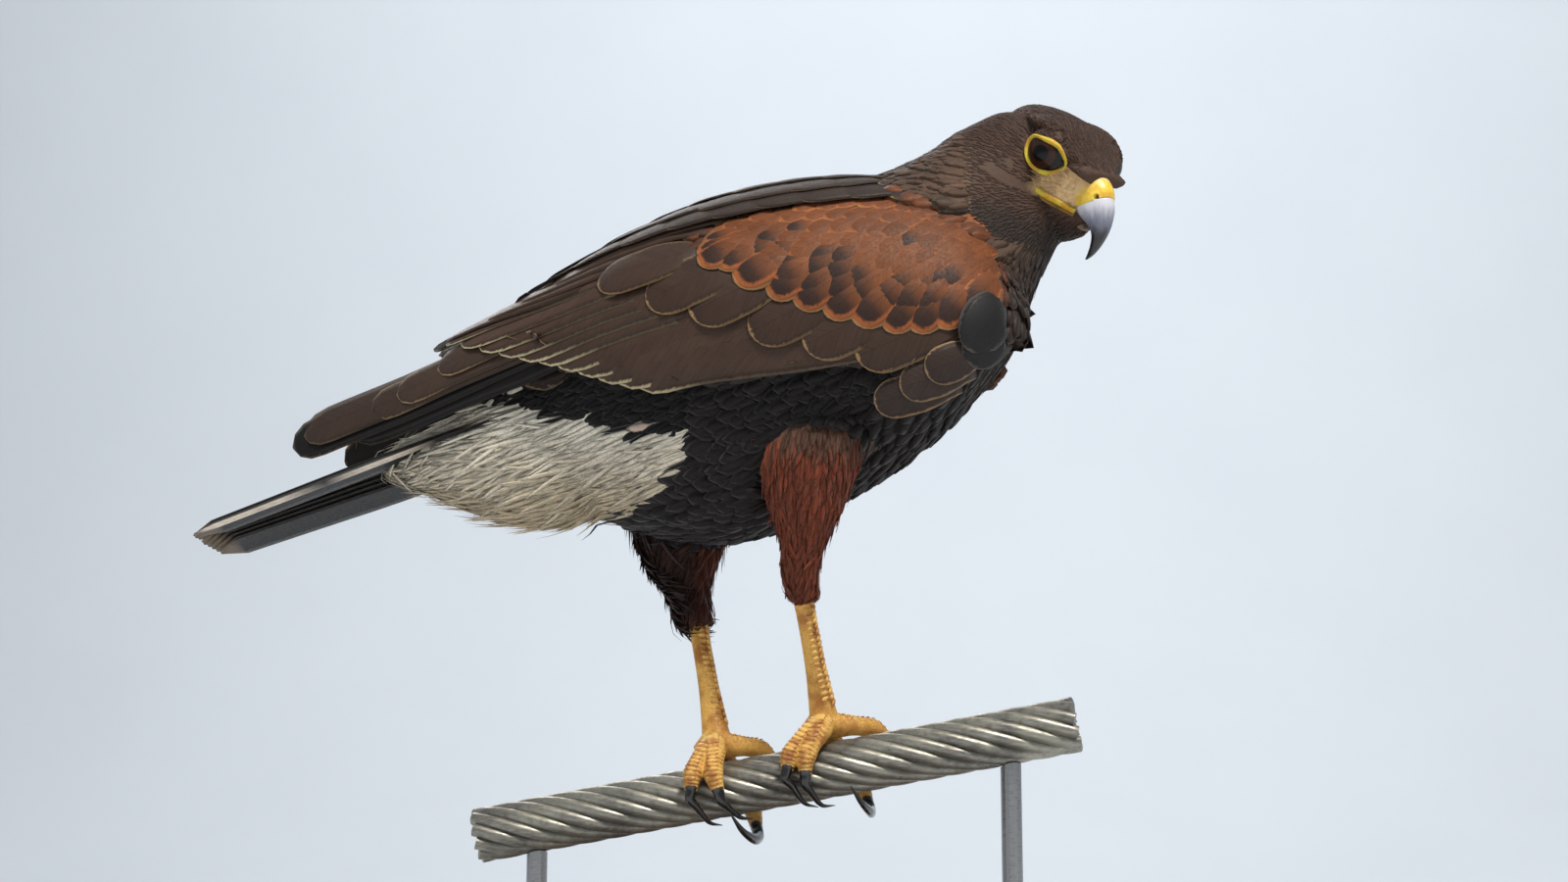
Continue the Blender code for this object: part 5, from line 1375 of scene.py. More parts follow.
for which, side in SIDES:
    row = primary_row(side)
    # The two lowest primaries are dark brown, painted near black partly as painted shadow under the wing. The far
    # wing's primaries are painted at a quarter of the brightness as painted shade.
    tint = np.array([tone(30, 26, 28)] * 2 + [tone(84, 68, 58)] * (len(row) - 2)) * (0.25 if side > 0 else 1.0)
    flight(f"primaries_{which}", side, row, tint * shades(len(row), (1, 1, 1), 201, 0.05),
           tip_fringe(shades(len(row), tone(176, 146, 106), 202), [0.1, 0.3, 0.3, 0.6, 0.9, 0.9]), flight_finish)
    row = secondary_row()
    worn = np.concatenate([np.linspace(0.95, 0.85, SECONDARIES), np.full(TERTIALS, 0.55)])
    edges = np.vstack([shades(SECONDARIES, WORN_WHITE, 203, 0.04), shades(TERTIALS, tone(168, 138, 100), 204)])
    flight(f"secondaries_{which}", side, row, shades(len(row), WING_BROWN, 205), tip_fringe(edges, worn), flight_finish)

# %% [markdown]
# ## Coverts, thumb feathers and shoulder
# Greater coverts are large dark ovals with a thin buff edge. Median coverts are dark ovals on rufous. Lesser
# coverts are small and rufous, with a dark spot here and there. At the wrist lie the primary coverts and the
# round thumb feather, which is dark and painted slate blue grey as a painted reflection of the sky, and the shoulder
# feathers cover the wing's upper edge.

# %% Covert rows
GREATER = ((-0.0764, 0.2950, 15), (-0.0530, 0.2845, 22), (-0.0335, 0.2785, 24), (-0.0080, 0.2700, 22),
           (0.0150, 0.2640, 22), (0.0370, 0.2590, 20))
MEDIAN = ((-0.0340, 0.3030), (-0.0180, 0.2925), (-0.0030, 0.2855), (0.0100, 0.2805), (0.0235, 0.2765),
          (0.0360, 0.2725), (0.0480, 0.2690), (0.0600, 0.2690), (0.0720, 0.2700), (0.0830, 0.2725), (0.0930, 0.2790))
SHOULDER = ((-0.0300, 0.3150), (-0.0100, 0.3225), (0.0080, 0.3262), (0.0250, 0.3280), (0.0400, 0.3285),
            (0.0540, 0.3265), (0.0670, 0.3210), (0.0770, 0.3145), (0.0850, 0.3060), (0.0900, 0.2970), (0.0920, 0.2880))
SCAPULARS = ((-0.1200, 0.2985), (-0.0900, 0.3085), (-0.0620, 0.3180), (-0.0370, 0.3235), (-0.0120, 0.3290),
             (0.0140, 0.3318), (0.0400, 0.3325), (0.0640, 0.3290))
COVERT_ROWS = ((0.00, 10), (0.13, 12), (0.26, 14), (0.40, 15), (0.54, 16), (0.68, 17), (0.82, 17), (0.95, 17))


def covert_rows():
    """Median and lesser coverts: feathers with their dark part and their height in the patch, top rows last."""
    pick = np.random.default_rng(211)
    made, dark, height = [], [], []
    for row, (b, count) in enumerate(COVERT_ROWS):
        for i in range(count):
            s = 0.97 * (i + 0.5 * (row % 2) + 0.25) / count
            tip = reading(MEDIAN, s) * (1 - b) + reading(SHOULDER, s) * b + pick.normal(0, 0.0006, 2)
            lean = math.radians((24 + 34 * s) * (1 - 0.25 * b))
            reach = 0.027 - 0.013 * b
            root = tip + reach * np.array([math.cos(lean), math.sin(lean)])
            if root[0] > 0.0985:
                continue
            half = (0.0090 - 0.0040 * b) * pick.uniform(0.9, 1.1)
            out = 0.0030 - 0.0012 * b
            made.append((tuple(root), tuple(tip), half, (-0.0020, out, out + 0.0007), 0.03))
            dark.append(1.0 if b < 0.2 else float(pick.random() < 0.86 - 1.05 * b))
            height.append(b)
    return made, np.array(dark), np.array(height)


def patch_coat(dark, stations):
    """Rufous at the root, dark towards the tip where the feather has a dark centre."""
    s = np.linspace(0, 1, stations)
    part = dark[:, None] * smoothstep(0.25, 0.55, s)[None, :]
    return blend(RUFOUS, tone(66, 44, 36), part)


for which, side in SIDES:
    row = []
    for x, z, lean in GREATER:
        way = np.array([math.cos(math.radians(lean)), math.sin(math.radians(lean))])
        row.append(((x + 0.050 * way[0], z + 0.050 * way[1]), (x, z), 0.0122, (-0.0020, 0.0018, 0.0026), 0.05))
    flight(f"greater_coverts_{which}", side, row, shades(len(row), tone(86, 66, 54), 221),
           tip_fringe(shades(len(row), tone(176, 140, 96), 222), 0.85, 0.55), covert_finish, columns=9)
    row, dark, height = covert_rows()
    coat = patch_coat(dark, 9) * np.random.default_rng(223).normal(1, 0.10, (len(row), 1, 1)).clip(0.75, 1.3)
    edge = blend(tone(158, 88, 46), RUFOUS, smoothstep(0.05, 0.35, height)) * shades(len(row), (1, 1, 1), 224, 0.08)
    flight(f"lesser_coverts_{which}", side, row, coat, with_strength(edge, 0.95), patch_finish,
           stations=9, columns=7, thick=0.0005, camber=0.12)
    row = [((0.0800, 0.2490), (0.0440, 0.2410), 0.0088, (-0.002, 0.0012, 0.0018), 0.05),
           ((0.0860, 0.2555), (0.0550, 0.2470), 0.0088, (-0.002, 0.0022, 0.0028), 0.05),
           ((0.0900, 0.2620), (0.0660, 0.2530), 0.0086, (-0.002, 0.0032, 0.0038), 0.05)]
    flight(f"primary_coverts_{which}", side, row, shades(len(row), tone(74, 60, 54), 231),
           with_strength(shades(len(row), tone(168, 134, 98), 232), 0.8), covert_finish)
    row = [((0.0980, 0.2760), (0.0852, 0.2560), 0.0106, (-0.002, 0.0034, 0.0040), 0.0),
           ((0.0990, 0.2825), (0.0845, 0.2618), 0.0118, (-0.002, 0.0044, 0.0052), 0.0)]
    # The thumb feathers are dark and painted slate blue grey, a painted reflection of the sky
    flight(f"thumb_feathers_{which}", side, row, shades(2, THUMB_DARK_AND_SKY_REFLECTION, 233, 0.02),
           with_strength(shades(2, tone(104, 96, 90), 234), 0.5), covert_finish, columns=9, camber=0.16)
    row = []
    for tier in range(3):
        for i in range(9):
            s = (i + 0.5 * (tier % 2) + 0.2) / 9
            tip = reading(SCAPULARS, s) + np.array([0.004 * tier, 0.0062 * tier])
            root = tip + 0.040 * np.array([1.0, 0.42 - 0.44 * s])
            lift = 0.0030 + 0.0006 * tier
            row.append((tuple(root), tuple(tip), 0.0104, (-0.0020, lift, lift + 0.0010), 0.04))
    flight(f"shoulder_feathers_{which}", side, row, shades(len(row), tone(70, 55, 47), 241),
           tip_fringe(shades(len(row), tone(150, 124, 94), 242), 0.75, 0.3), covert_finish)

# %% [markdown]
# ## The mantle
# Between the two rows of shoulder feathers lie the mantle feathers of the upper back. They bridge the valley
# between the wings, so they are laid on the wings' top line and not on the skin below it.

# %% Mantle feathers
MANTLE_ROWS, MANTLE_LENGTH, MANTLE_HALF, MANTLE_THICK = 15, 0.026, 0.0080, 0.0007
MANTLE_BACK, MANTLE_FRONT, MANTLE_ACROSS = -0.050, 0.064, (-0.0040, 0.0050, 0.0135)
MANTLE_SINK, MANTLE_LIFT = 0.0026, 0.0022
steps = np.linspace(0, 1, 14)
count = 3 * MANTLE_ROWS
root_x = np.repeat(np.linspace(MANTLE_BACK, MANTLE_FRONT, MANTLE_ROWS), 3) + np.tile((0.0, 0.004, 0.0), MANTLE_ROWS)
beside = np.tile(MANTLE_ACROSS, MANTLE_ROWS)
x = root_x[:, None] - MANTLE_LENGTH * steps
z = along(WING, x)[..., 0] - MANTLE_SINK + MANTLE_LIFT * steps
y = np.broadcast_to(beside[:, None], x.shape)
middle = np.stack([x, y, z], -1)
outward = np.broadcast_to(np.stack([0 * beside, 3.0 * beside, 0.10 + 0 * beside], 1)[:, None, :], middle.shape)
left = MANTLE_LENGTH * (1 - steps) / (1.15 * MANTLE_HALF)
round_end = np.sqrt(np.clip(1 - (1 - np.clip(left, 0, 1)) ** 2, 0.006, 1))
half = np.broadcast_to(MANTLE_HALF * (0.6 + 0.4 * smoothstep(0, 0.5, steps)) * round_end, x.shape)
deep = np.broadcast_to(MANTLE_THICK * np.linspace(1, 0.45, 14), x.shape)
mantle = vanes("mantle_feathers", middle, units(outward), half, deep, 0.10, 7, shades(count, tone(70, 55, 47), 245),
               tip_fringe(shades(count, tone(150, 124, 94), 246), 0.75, 0.3), cells(count))
dress(mantle, covert_finish)
print("mantle feathers laid", count)

# %% [markdown]
# ## The tail
# Twelve feathers fan only a little at rest, the middle pair on top. They are black with a pale base and a pale,
# worn tip. Along the near side's outer edge, a narrow strip is painted brighter than white as a painted highlight.

# %% Tail feathers
TAIL_PAIRS = 6
TAIL_STATIONS = 16
TAIL_STEPS = np.linspace(0, 1, TAIL_STATIONS)


def rectrix(pair, side, wide=0.0105, beside=0.0, below=0.0):
    """Middle line, half widths and the way up of one tail feather."""
    s = TAIL_STEPS
    level = 0.0006 if (pair == 0 and side == -1) else -0.0005 - 0.0009 * pair - (0.0 if side == 1 else 0.0004)
    reach = 0.026 + (TAIL_LENGTH - 0.0012 * pair - 0.026) * s
    a = side * (0.0035 + 0.0035 * pair) * (1 - (0.22 if side == 1 else 0.50) * s) + beside
    up = level - 0.0022 * (np.abs(a) / 0.02) ** 2 - below
    rounded = np.sqrt(np.clip(1.02 - (np.maximum(s - 0.93, 0) / 0.07) ** 2, 0.05, 1))
    half = wide * np.minimum(1, 0.55 + 0.9 * s) * (1 - 0.12 * s) * rounded
    middle = TAIL_ROOT + np.outer(reach, tail_way) + np.outer(a, tail_side) + np.outer(up, tail_up)
    return middle, half, np.broadcast_to(unit(tail_up + tail_side * 0.05 * side), (TAIL_STATIONS, 3))


fan = [rectrix(pair, side) for pair in range(TAIL_PAIRS) for side in (-1, 1)]
# A painted highlight: a narrow extra vane on the near outer web, painted brighter than white in two stretches
fan.append(rectrix(TAIL_PAIRS - 1, 1, 0.0032, 0.0062, 0.0009))
black = smoothstep(0.10, 0.22, TAIL_STEPS) * smoothstep(0.985, 0.930, TAIL_STEPS)
painted_highlight = smoothstep(0.30, 0.36, TAIL_STEPS) * smoothstep(0.58, 0.50, TAIL_STEPS)
painted_highlight = np.maximum(painted_highlight, smoothstep(0.64, 0.70, TAIL_STEPS))
coats = np.tile(blend(tone(214, 196, 166), TAIL_BLACK, black), (len(fan), 1, 1))
# The strip is painted brighter than white where the painted highlight falls
coats[-1] = blend(TAIL_BLACK, tone(255, 250, 236) * 1.6, painted_highlight)
edges = with_strength(np.tile(tone(150, 140, 124), (len(fan), 1)), 0.2)
middles, halves, outs = (np.array([feather[i] for feather in fan]) for i in range(3))
tail = vanes("tail_feathers", middles, outs, halves, np.full((len(fan), TAIL_STATIONS), 0.0007), 0.05, 7, coats, edges,
             cells(len(fan)))
dress(tail, flight_finish)

# %% [markdown]
# ## Lids and gape
# A hawk's stare comes from a bare yellow ring of skin round the eye and from a bony brow that shades it. The ring
# is a rolled edge that follows the opening over the eyeball, cut off straight under the brow.

# %% Lids and gape
YELLOW = tone(226, 206, 64)
DEEP_YELLOW = tone(214, 160, 44)


def skin_finish_of(name, colour, dark, rough=0.45, scale=900.0, fold=0.5):
    made = Finish(name, rough, Subsurface_Weight=0.12, Subsurface_Scale=0.002, Specular_IOR_Level=0.5)
    fine, broad = made.noise(scale, 4.0), made.noise(scale * 0.12, 3.0)
    here = made.node("TexCoord").outputs["Object"]
    scales = made.node("TexVoronoi", {"feature": "DISTANCE_TO_EDGE"}, Vector=here, Scale=scale)
    edge = made.step(scales.outputs["Distance"], 0.0, 0.12)
    tint = made.mix(made.step(broad, 0.38, 0.68), colour, dark)
    made.colour(made.shaded(made.step(edge, 0.0, 1.0, 0.35, 0.0), tint, (0.45, 0.32, 0.22)))
    made.rough(made.step(fine, 0.3, 0.7, rough - 0.08, rough + 0.14))
    made.bump(made.sum("MULTIPLY_ADD", fine, 0.4, edge), fold, 0.0003)
    return made


lid_finish = skin_finish_of("yellow_lid_skin", YELLOW, DEEP_YELLOW, 0.42, 1300.0, 0.4)
LID_ROWS = ((-0.05, -0.0002), (-0.02, 0.0004), (0.00, 0.0009), (0.03, 0.0013), (0.07, 0.0014), (0.11, 0.0012),
            (0.15, 0.0010), (0.19, 0.0004), (0.25, -0.0006), (0.32, -0.0022), (0.25, -0.0030), (0.10, -0.0024))


def lid_ring(name, side):
    """A closed ring whose cross-section is a rolled lid over the eyeball."""
    middle, look, level, rise = eye_axes(side)
    rings = []
    for a in 2 * math.pi * np.arange(64) / 64:
        edge = float(lid_angle(a))
        out = level * math.cos(a) + rise * math.sin(a)
        # The ring swells to a small knob below, thins away in front of it, and is broad under the brow
        knob = math.exp(-(((a - math.radians(244)) / 0.22) ** 2))
        brow = math.exp(-(((a - math.radians(112)) / 0.55) ** 2))
        wide = 0.80 + 0.60 * knob + 0.35 * brow - 0.62 * math.exp(-(((a - math.radians(202)) / 0.40) ** 2))
        rows = []
        for off, lift in LID_ROWS:
            angle = edge + off * wide
            lift = lift if side > 0 else min(lift, 0.0004)
            rows.append(middle + (look * math.cos(angle) + out * math.sin(angle)) * (EYE_RADIUS + lift))
        rings.append(rows)
    rings = np.array(rings)
    count, per, _ = rings.shape
    i, j = np.meshgrid(np.arange(count), np.arange(per), indexing="ij")
    a, b = i * per + j, ((i + 1) % count) * per + j
    c, d = ((i + 1) % count) * per + (j + 1) % per, i * per + (j + 1) % per
    quads = np.stack([a.ravel(), b.ravel(), c.ravel(), d.ravel()], 1)
    return turned_out(mesh_object(name, rings.reshape(-1, 3), [quads]))


def beside_head(f, u, out, side):
    return on_head(f, u, (float(head_side(np.array(f), np.array(u))) + out) * side)


def gape_fold(name, side, drop, thick, out):
    rows = [[*beside_head(f, u - drop, out, side), thick * part] for (f, u), part in zip(GAPE, (0.35, 0.95, 1.0, 0.95))]
    rows.append([*on_head(0.0312, -0.0122 - drop * 0.8, 0.0082 * side), thick * 0.8])
    rows = smooth_rows(rows, 30)
    return tube(name, rows[:, :3], rows[:, 3], 12, up=tuple(HEAD_UP), flat=0.8)


face = []
for which, side in (("right", 1), ("left", -1)):
    face.append(lid_ring("lid", side))
    face.append(gape_fold("gape_upper", side, 0.0000, 0.0014, 0.0002))
face = dress(joined("lids_and_gape", face), lid_finish)
lower_folds = [gape_fold("gape_lower", side, 0.0022, 0.0008, -0.0001) for side in (1, -1)]
lower_fold_finish = skin_finish_of("dull_lower_gape", tone(150, 112, 44), tone(96, 68, 34), 0.5, 1200.0, 0.3)
dress(joined("lower_gape", lower_folds), lower_fold_finish)
print("lids and gape faces", len(face.data.polygons))

# %% [markdown]
# ## Eyes
# Each eye is a whole ball with a slightly bulging front. Its own map holds the distance from the eye's axis, so
# rings of colour paint the pupil, the dark chestnut iris and the darker rim. A clear coat gives the wet light.

# %% Eyes
EYE_RINGS, EYE_SPOKES = 40, 64


def eye_ball(name, side):
    middle, look, level, rise = eye_axes(side)
    verts = [middle + look * (EYE_RADIUS + 0.0006)]
    where = [0.0]
    for k in range(1, EYE_RINGS):
        b = math.pi * k / EYE_RINGS
        reach = EYE_RADIUS + 0.0006 * math.exp(-((b / 0.55) ** 2))
        for a in 2 * math.pi * np.arange(EYE_SPOKES) / EYE_SPOKES:
            out = level * math.cos(a) + rise * math.sin(a)
            verts.append(middle + (look * math.cos(b) + out * math.sin(b)) * reach)
            where.append(b)
    verts.append(middle - look * EYE_RADIUS)
    where.append(math.pi)
    i = np.arange(EYE_SPOKES)
    j = (i + 1) % EYE_SPOKES
    last = len(verts) - 1
    under = last - EYE_SPOKES
    caps = np.vstack([np.stack([0 * i, 1 + i, 1 + j], 1), np.stack([0 * i + last, under + j, under + i], 1)])
    quads = []
    for k in range(EYE_RINGS - 2):
        a = 1 + k * EYE_SPOKES
        quads.append(np.stack([a + i, a + EYE_SPOKES + i, a + EYE_SPOKES + j, a + j], 1))
    ball = turned_out(mesh_object(name, verts, [np.vstack(quads), caps]))
    attribute(ball, "from_axis", where, "FLOAT")
    return ball


wet = Finish("wet_brown_eye", 0.30, Coat_Weight=0.22, Coat_Roughness=0.03, Specular_IOR_Level=0.2)
fibre = wet.noise(1500.0, 4.0)
off_axis = wet.sum("MULTIPLY_ADD", fibre, 0.05, wet.read("from_axis"))
iris = wet.mix(wet.step(fibre, 0.35, 0.65), tone(64, 34, 22), tone(34, 18, 13))
iris = wet.mix(wet.step(off_axis, 0.34, 0.38), tone(6, 5, 5), iris)
wet.colour(wet.mix(wet.step(off_axis, 0.60, 0.72), iris, tone(14, 9, 8)))
wet.bump(fibre, 0.05, 0.0001)
for which, side in (("right", 1), ("left", -1)):
    dress(eye_ball(f"eyeball_{which}", side), wet)
print("eyes made, radius", EYE_RADIUS)

# %% [markdown]
# ## Cere and bill
# The cere is waxy yellow skin with a nostril on each side. The upper bill is pale blue grey at its root and runs
# to a black hook. Both follow rows that give a point on the ridge, a point below and a half width.

# %% Cere and bill
CERE_ROWS = (
    (0.0225, 0.0070, 0.0210, -0.0104, 0.0088), (0.0285, 0.0064, 0.0245, -0.0112, 0.0086),
    (0.0338, 0.0050, 0.0275, -0.0118, 0.0082), (0.0376, 0.0028, 0.0294, -0.0124, 0.0077),
    (0.0398, -0.0002, 0.0298, -0.0128, 0.0072),
)
BILL_ROWS = (
    (0.0402, -0.0006, 0.0272, -0.0134, 0.0074), (0.0430, -0.0040, 0.0312, -0.0144, 0.0069),
    (0.0448, -0.0084, 0.0352, -0.0154, 0.0058), (0.0457, -0.0126, 0.0388, -0.0166, 0.0047),
    (0.0458, -0.0170, 0.0410, -0.0192, 0.0036), (0.0452, -0.0215, 0.0418, -0.0232, 0.0026),
    (0.0438, -0.0260, 0.0415, -0.0266, 0.0016), (0.0416, -0.0295, 0.0408, -0.0297, 0.0005),
)
LOWER_ROWS = (
    (0.0170, -0.0138, 0.0170, -0.0192, 0.0080), (0.0230, -0.0142, 0.0228, -0.0196, 0.0068),
    (0.0280, -0.0150, 0.0278, -0.0198, 0.0052), (0.0320, -0.0160, 0.0318, -0.0196, 0.0036),
    (0.0345, -0.0172, 0.0344, -0.0188, 0.0016),
)
BILL_FLARE = 0.22


def ridge_loft(name, rows, steps, sides):
    rings, part = [], []
    for k, (ta, tu, ba, bu, half) in enumerate(smooth_rows(rows, steps)):
        top, bottom = on_head(ta, tu, 0), on_head(ba, bu, 0)
        high = np.linalg.norm(top - bottom) / 2
        rings.append(oval((top + bottom) / 2, HEAD_RIGHT, unit(top - bottom), half, high, high, sides, 2.2, BILL_FLARE))
        part += [k / (steps - 1)] * sides
    made = loft(name, rings)
    attribute(made, "to_tip", [*part, 0.0, 1.0], "FLOAT")
    return made


cere = ridge_loft("waxy_cere", CERE_ROWS, 60, 120)
points = points_of(cere)
nostril_shade_part = np.zeros(len(points))
for side in (1, -1):
    away = in_head(points) - np.array([0.0372, -0.0024, 0.0076 * side])
    # The nostril is an oval slit that leans back
    near = np.hypot((away[:, 0] + 0.5 * away[:, 1]) / 0.0010, (away[:, 1] - 0.5 * away[:, 0]) / 0.0015)
    near = np.where(np.abs(away[:, 2]) < 0.004, near, 9.0)
    hole = smoothstep(1.15, 0.70, near)
    rim_up = 0.0003 * np.exp(-(((near - 1.5) / 0.35) ** 2))
    points -= HEAD_RIGHT * side * (0.0022 * hole - rim_up)[:, None]
    nostril_shade_part = np.maximum(nostril_shade_part, hole)
set_points(cere, points)
attribute(cere, "pit", nostril_shade_part, "FLOAT")
waxy = Finish("waxy_cere_skin", 0.34, Subsurface_Weight=0.12, Subsurface_Scale=0.002, Coat_Weight=0.15)
fine, broad = waxy.noise(1500.0, 4.0), waxy.noise(260.0, 3.0)
wax = waxy.mix(waxy.step(broad, 0.35, 0.70), tone(248, 214, 78), tone(226, 178, 66))
wax = waxy.mix(waxy.step(waxy.read("to_tip"), 0.30, 0.62), LORES, wax)
# The nostril hole is painted near black, as painted shade inside it
waxy.colour(waxy.mix(waxy.read("pit"), wax, tone(34, 12, 8)))
waxy.rough(waxy.step(fine, 0.3, 0.7, 0.28, 0.46))
waxy.bump(waxy.sum("MULTIPLY_ADD", broad, 2.0, fine), 0.18, 0.0003)
dress(cere, waxy)

bill = ridge_loft("horn_bill", BILL_ROWS, 60, 48)
horn = Finish("bill_horn", 0.3, Coat_Weight=0.35, Coat_Roughness=0.15)
streak = horn.noise(500.0, 5.0, squeeze=(1.0, 1.0, 0.25))
reach = horn.sum("MULTIPLY_ADD", horn.sum("SUBTRACT", streak, 0.5), 0.30, horn.read("to_tip"))
pale = horn.mix(horn.step(reach, 0.02, 0.34), tone(214, 214, 222), tone(130, 132, 150))
horn.colour(horn.mix(horn.step(reach, 0.26, 0.60), pale, tone(24, 24, 28)))
horn.rough(horn.step(streak, 0.3, 0.7, 0.24, 0.40))
horn.bump(streak, 0.15, 0.0003)
dress(bill, horn)
lower = ridge_loft("horn_lower_bill", LOWER_ROWS, 24, 36)
horn = Finish("lower_bill_horn", 0.38)
streak = horn.noise(600.0, 4.0)
horn.colour(horn.mix(streak, tone(170, 140, 110), tone(66, 60, 64)))
horn.bump(streak, 0.2, 0.0003)
dress(lower, horn)
print("cere, bill and lower bill made")

# %% [markdown]
# ## Bristles on the lores
# The pale skin between eye and bill carries fine hairs. Geometry Nodes set one thin cone on each root: the roots
# carry their own direction, the tree turns a cone that way, and the result is made one plain mesh.


# %% Bristles by Geometry Nodes
class Tree(Nodes):
    """A Geometry Nodes tree with named inputs, ending in Realize Instances and Set Material."""

    family = "GeometryNode"

    def __init__(self, name, **inputs):
        self.tree = bpy.data.node_groups.new(name, "GeometryNodeTree")
        for way in ("INPUT", "OUTPUT"):
            self.tree.interface.new_socket("Geometry", in_out=way, socket_type="NodeSocketGeometry")
        self.ids = {}
        for key, kind in (*inputs.items(), ("Finish", "Material")):
            made = self.tree.interface.new_socket(key, in_out="INPUT", socket_type="NodeSocket" + kind)
            self.ids[key] = made.identifier
        self.source = self.tree.nodes.new("NodeGroupInput")
        self.sink = self.tree.nodes.new("NodeGroupOutput")

    def given(self, key):
        return self.source.outputs[key]

    def read(self, name, kind="FLOAT_VECTOR"):
        return self.node("InputNamedAttribute", {"data_type": kind}, Name=name).outputs[0]

    def math(self, kind, a, b=0.0):
        return self.node("ShaderNodeMath", {"operation": kind}, i0=a, i1=b).outputs[0]

    def turned(self, **settings):
        """A turn that points an axis along a stored direction."""
        name, before = settings.pop("name"), settings.pop("before", None)
        link = {"Vector": self.read(name)} | ({"Rotation": before} if before else {})
        return self.node("FunctionNodeAlignRotationToVector", settings, **link).outputs[0]

    def set_out(self, shape, rotation):
        """The shape on every seeded point, at its stored size."""
        return self.node("InstanceOnPoints", None, Points=self.given("Geometry"), Instance=shape, Rotation=rotation,
                         Scale=self.read("size", "FLOAT")).outputs[0]

    def end(self, geometry):
        real = self.node("RealizeInstances", None, Geometry=geometry)
        coat = self.node("SetMaterial", None, Geometry=real.outputs[0], Material=self.given("Finish"))
        self.put(self.sink.inputs[0], coat.outputs[0])

    def run(self, obj, finish, **values):
        """Runs the tree on obj with its inputs set by identifier, and leaves a plain mesh."""
        live = obj.modifiers.new("grown", "NODES")
        live.node_group = self.tree
        for key, value in (*values.items(), ("Finish", finish.material)):
            live[self.ids[key]] = value
        return applied(obj)


def stored(mesh, name, values, kind="FLOAT"):
    layer = mesh.attributes.new(name, kind, "POINT")
    layer.data.foreach_set("value" if kind == "FLOAT" else "vector", np.asarray(values, np.float32).ravel())


def seeded_points(name, points, ways, sizes):
    """Loose points that carry a direction and a size for the tree to read."""
    mesh = bpy.data.meshes.new(name)
    mesh.from_pydata([tuple(map(float, p)) for p in points], [], [])
    obj = bpy.data.objects.new(name, mesh)
    bpy.context.scene.collection.objects.link(obj)
    stored(mesh, "way", ways, "FLOAT_VECTOR")
    stored(mesh, "size", sizes)
    return obj


bristle = Tree("bristles", Length="Float", Root="Float")
cone = bristle.node("MeshCone", None, Vertices=5, Radius_Top=0.00003, Radius_Bottom=bristle.given("Root"),
                    Depth=bristle.given("Length"))
bristle.end(bristle.set_out(cone.outputs[0], bristle.turned(axis="Z", name="way")))

starts, normals = roots(["head"], 0.00085, 301)
chosen = (lore_part(in_head(starts)) > 0.35) & ~bare(starts)
starts, normals = starts[chosen], normals[chosen]
from_bill = units(starts - on_head(0.034, -0.006, 0))
ways = units(from_bill * 0.9 + normals * 0.35 + rng.normal(0, 0.18, starts.shape))
hair = Finish("pale_bristle", 0.6)
hair.colour(hair.mix(hair.noise(900.0, 3.0), tone(222, 190, 146), tone(120, 90, 62)))
bristles = seeded_points("lore_bristles", starts + ways * 0.0010, ways, rng.uniform(0.6, 1.2, len(starts)))
dress(bristle.run(bristles, hair, Length=0.0034, Root=0.00022), hair)
print("bristles", len(starts), "faces", len(bristles.data.polygons))

# %% [markdown]
# ## The cable
# The perch is a cut length of steel cable: ten round wires laid in a twist round an inner layer and a core wire.
# A wire follows a rule, so Geometry Nodes make it: a straight line is resampled, each of its points is turned
# round the axis by an angle that grows along it, the line is repeated round the axis, and a round profile is
# swept along every copy.

# %% Cable by Geometry Nodes
PERCH_RADIUS = 0.0120
PERCH_RISE = math.radians(10.1)
PERCH_MIDDLE = 0.0862
PERCH_ENDS = (-0.134, 0.126)
WIRE_COUNT, WIRE_LAY, WIRE_RADIUS = 10, 0.125, 0.00285
perch_way = np.array([math.cos(PERCH_RISE), 0.0, math.sin(PERCH_RISE)])
perch_up = np.array([-math.sin(PERCH_RISE), 0.0, math.cos(PERCH_RISE)])
perch_near = np.array([0.0, -1.0, 0.0])
perch_foot = np.array([0.0, 0.0, PERCH_MIDDLE])

laid = Tree("laid_wires", Start="Vector", End="Vector", Wires="Int", Wire="Float", Ring="Float", Lay="Float")
line = laid.node("CurvePrimitiveLine", None, Start=laid.given("Start"), End=laid.given("End"))
line = laid.node("ResampleCurve", None, Curve=line.outputs[0], Count=130)
reach = laid.node("ShaderNodeSeparateXYZ", None, Vector=laid.node("InputPosition").outputs[0]).outputs[0]
turn = laid.math("MULTIPLY", laid.math("DIVIDE", reach, laid.given("Lay")), 2 * math.pi)
beside = laid.math("MULTIPLY", laid.math("SINE", turn), laid.math("MULTIPLY", laid.given("Ring"), -1.0))
above = laid.math("MULTIPLY", laid.math("COSINE", turn), laid.given("Ring"))
place = laid.node("ShaderNodeCombineXYZ", None, X=reach, Y=beside, Z=above)
helix = laid.node("SetPosition", None, Geometry=line.outputs[0], Position=place.outputs[0])
copies = laid.node("Points", None, Count=laid.given("Wires"))
angle = laid.math("MULTIPLY", laid.node("InputIndex").outputs[0], laid.math("DIVIDE", 2 * math.pi, laid.given("Wires")))
spun = laid.node("InstanceOnPoints", None, Points=copies.outputs[0], Instance=helix.outputs[0],
                 Rotation=laid.node("ShaderNodeCombineXYZ", None, X=angle).outputs[0])
real = laid.node("RealizeInstances", None, Geometry=spun.outputs[0])
profile = laid.node("CurvePrimitiveCircle", None, Resolution=14, Radius=laid.given("Wire"))
swept = laid.node("CurveToMesh", None, Curve=real.outputs[0], Profile_Curve=profile.outputs[0], Fill_Caps=True)
laid.end(swept.outputs[0])

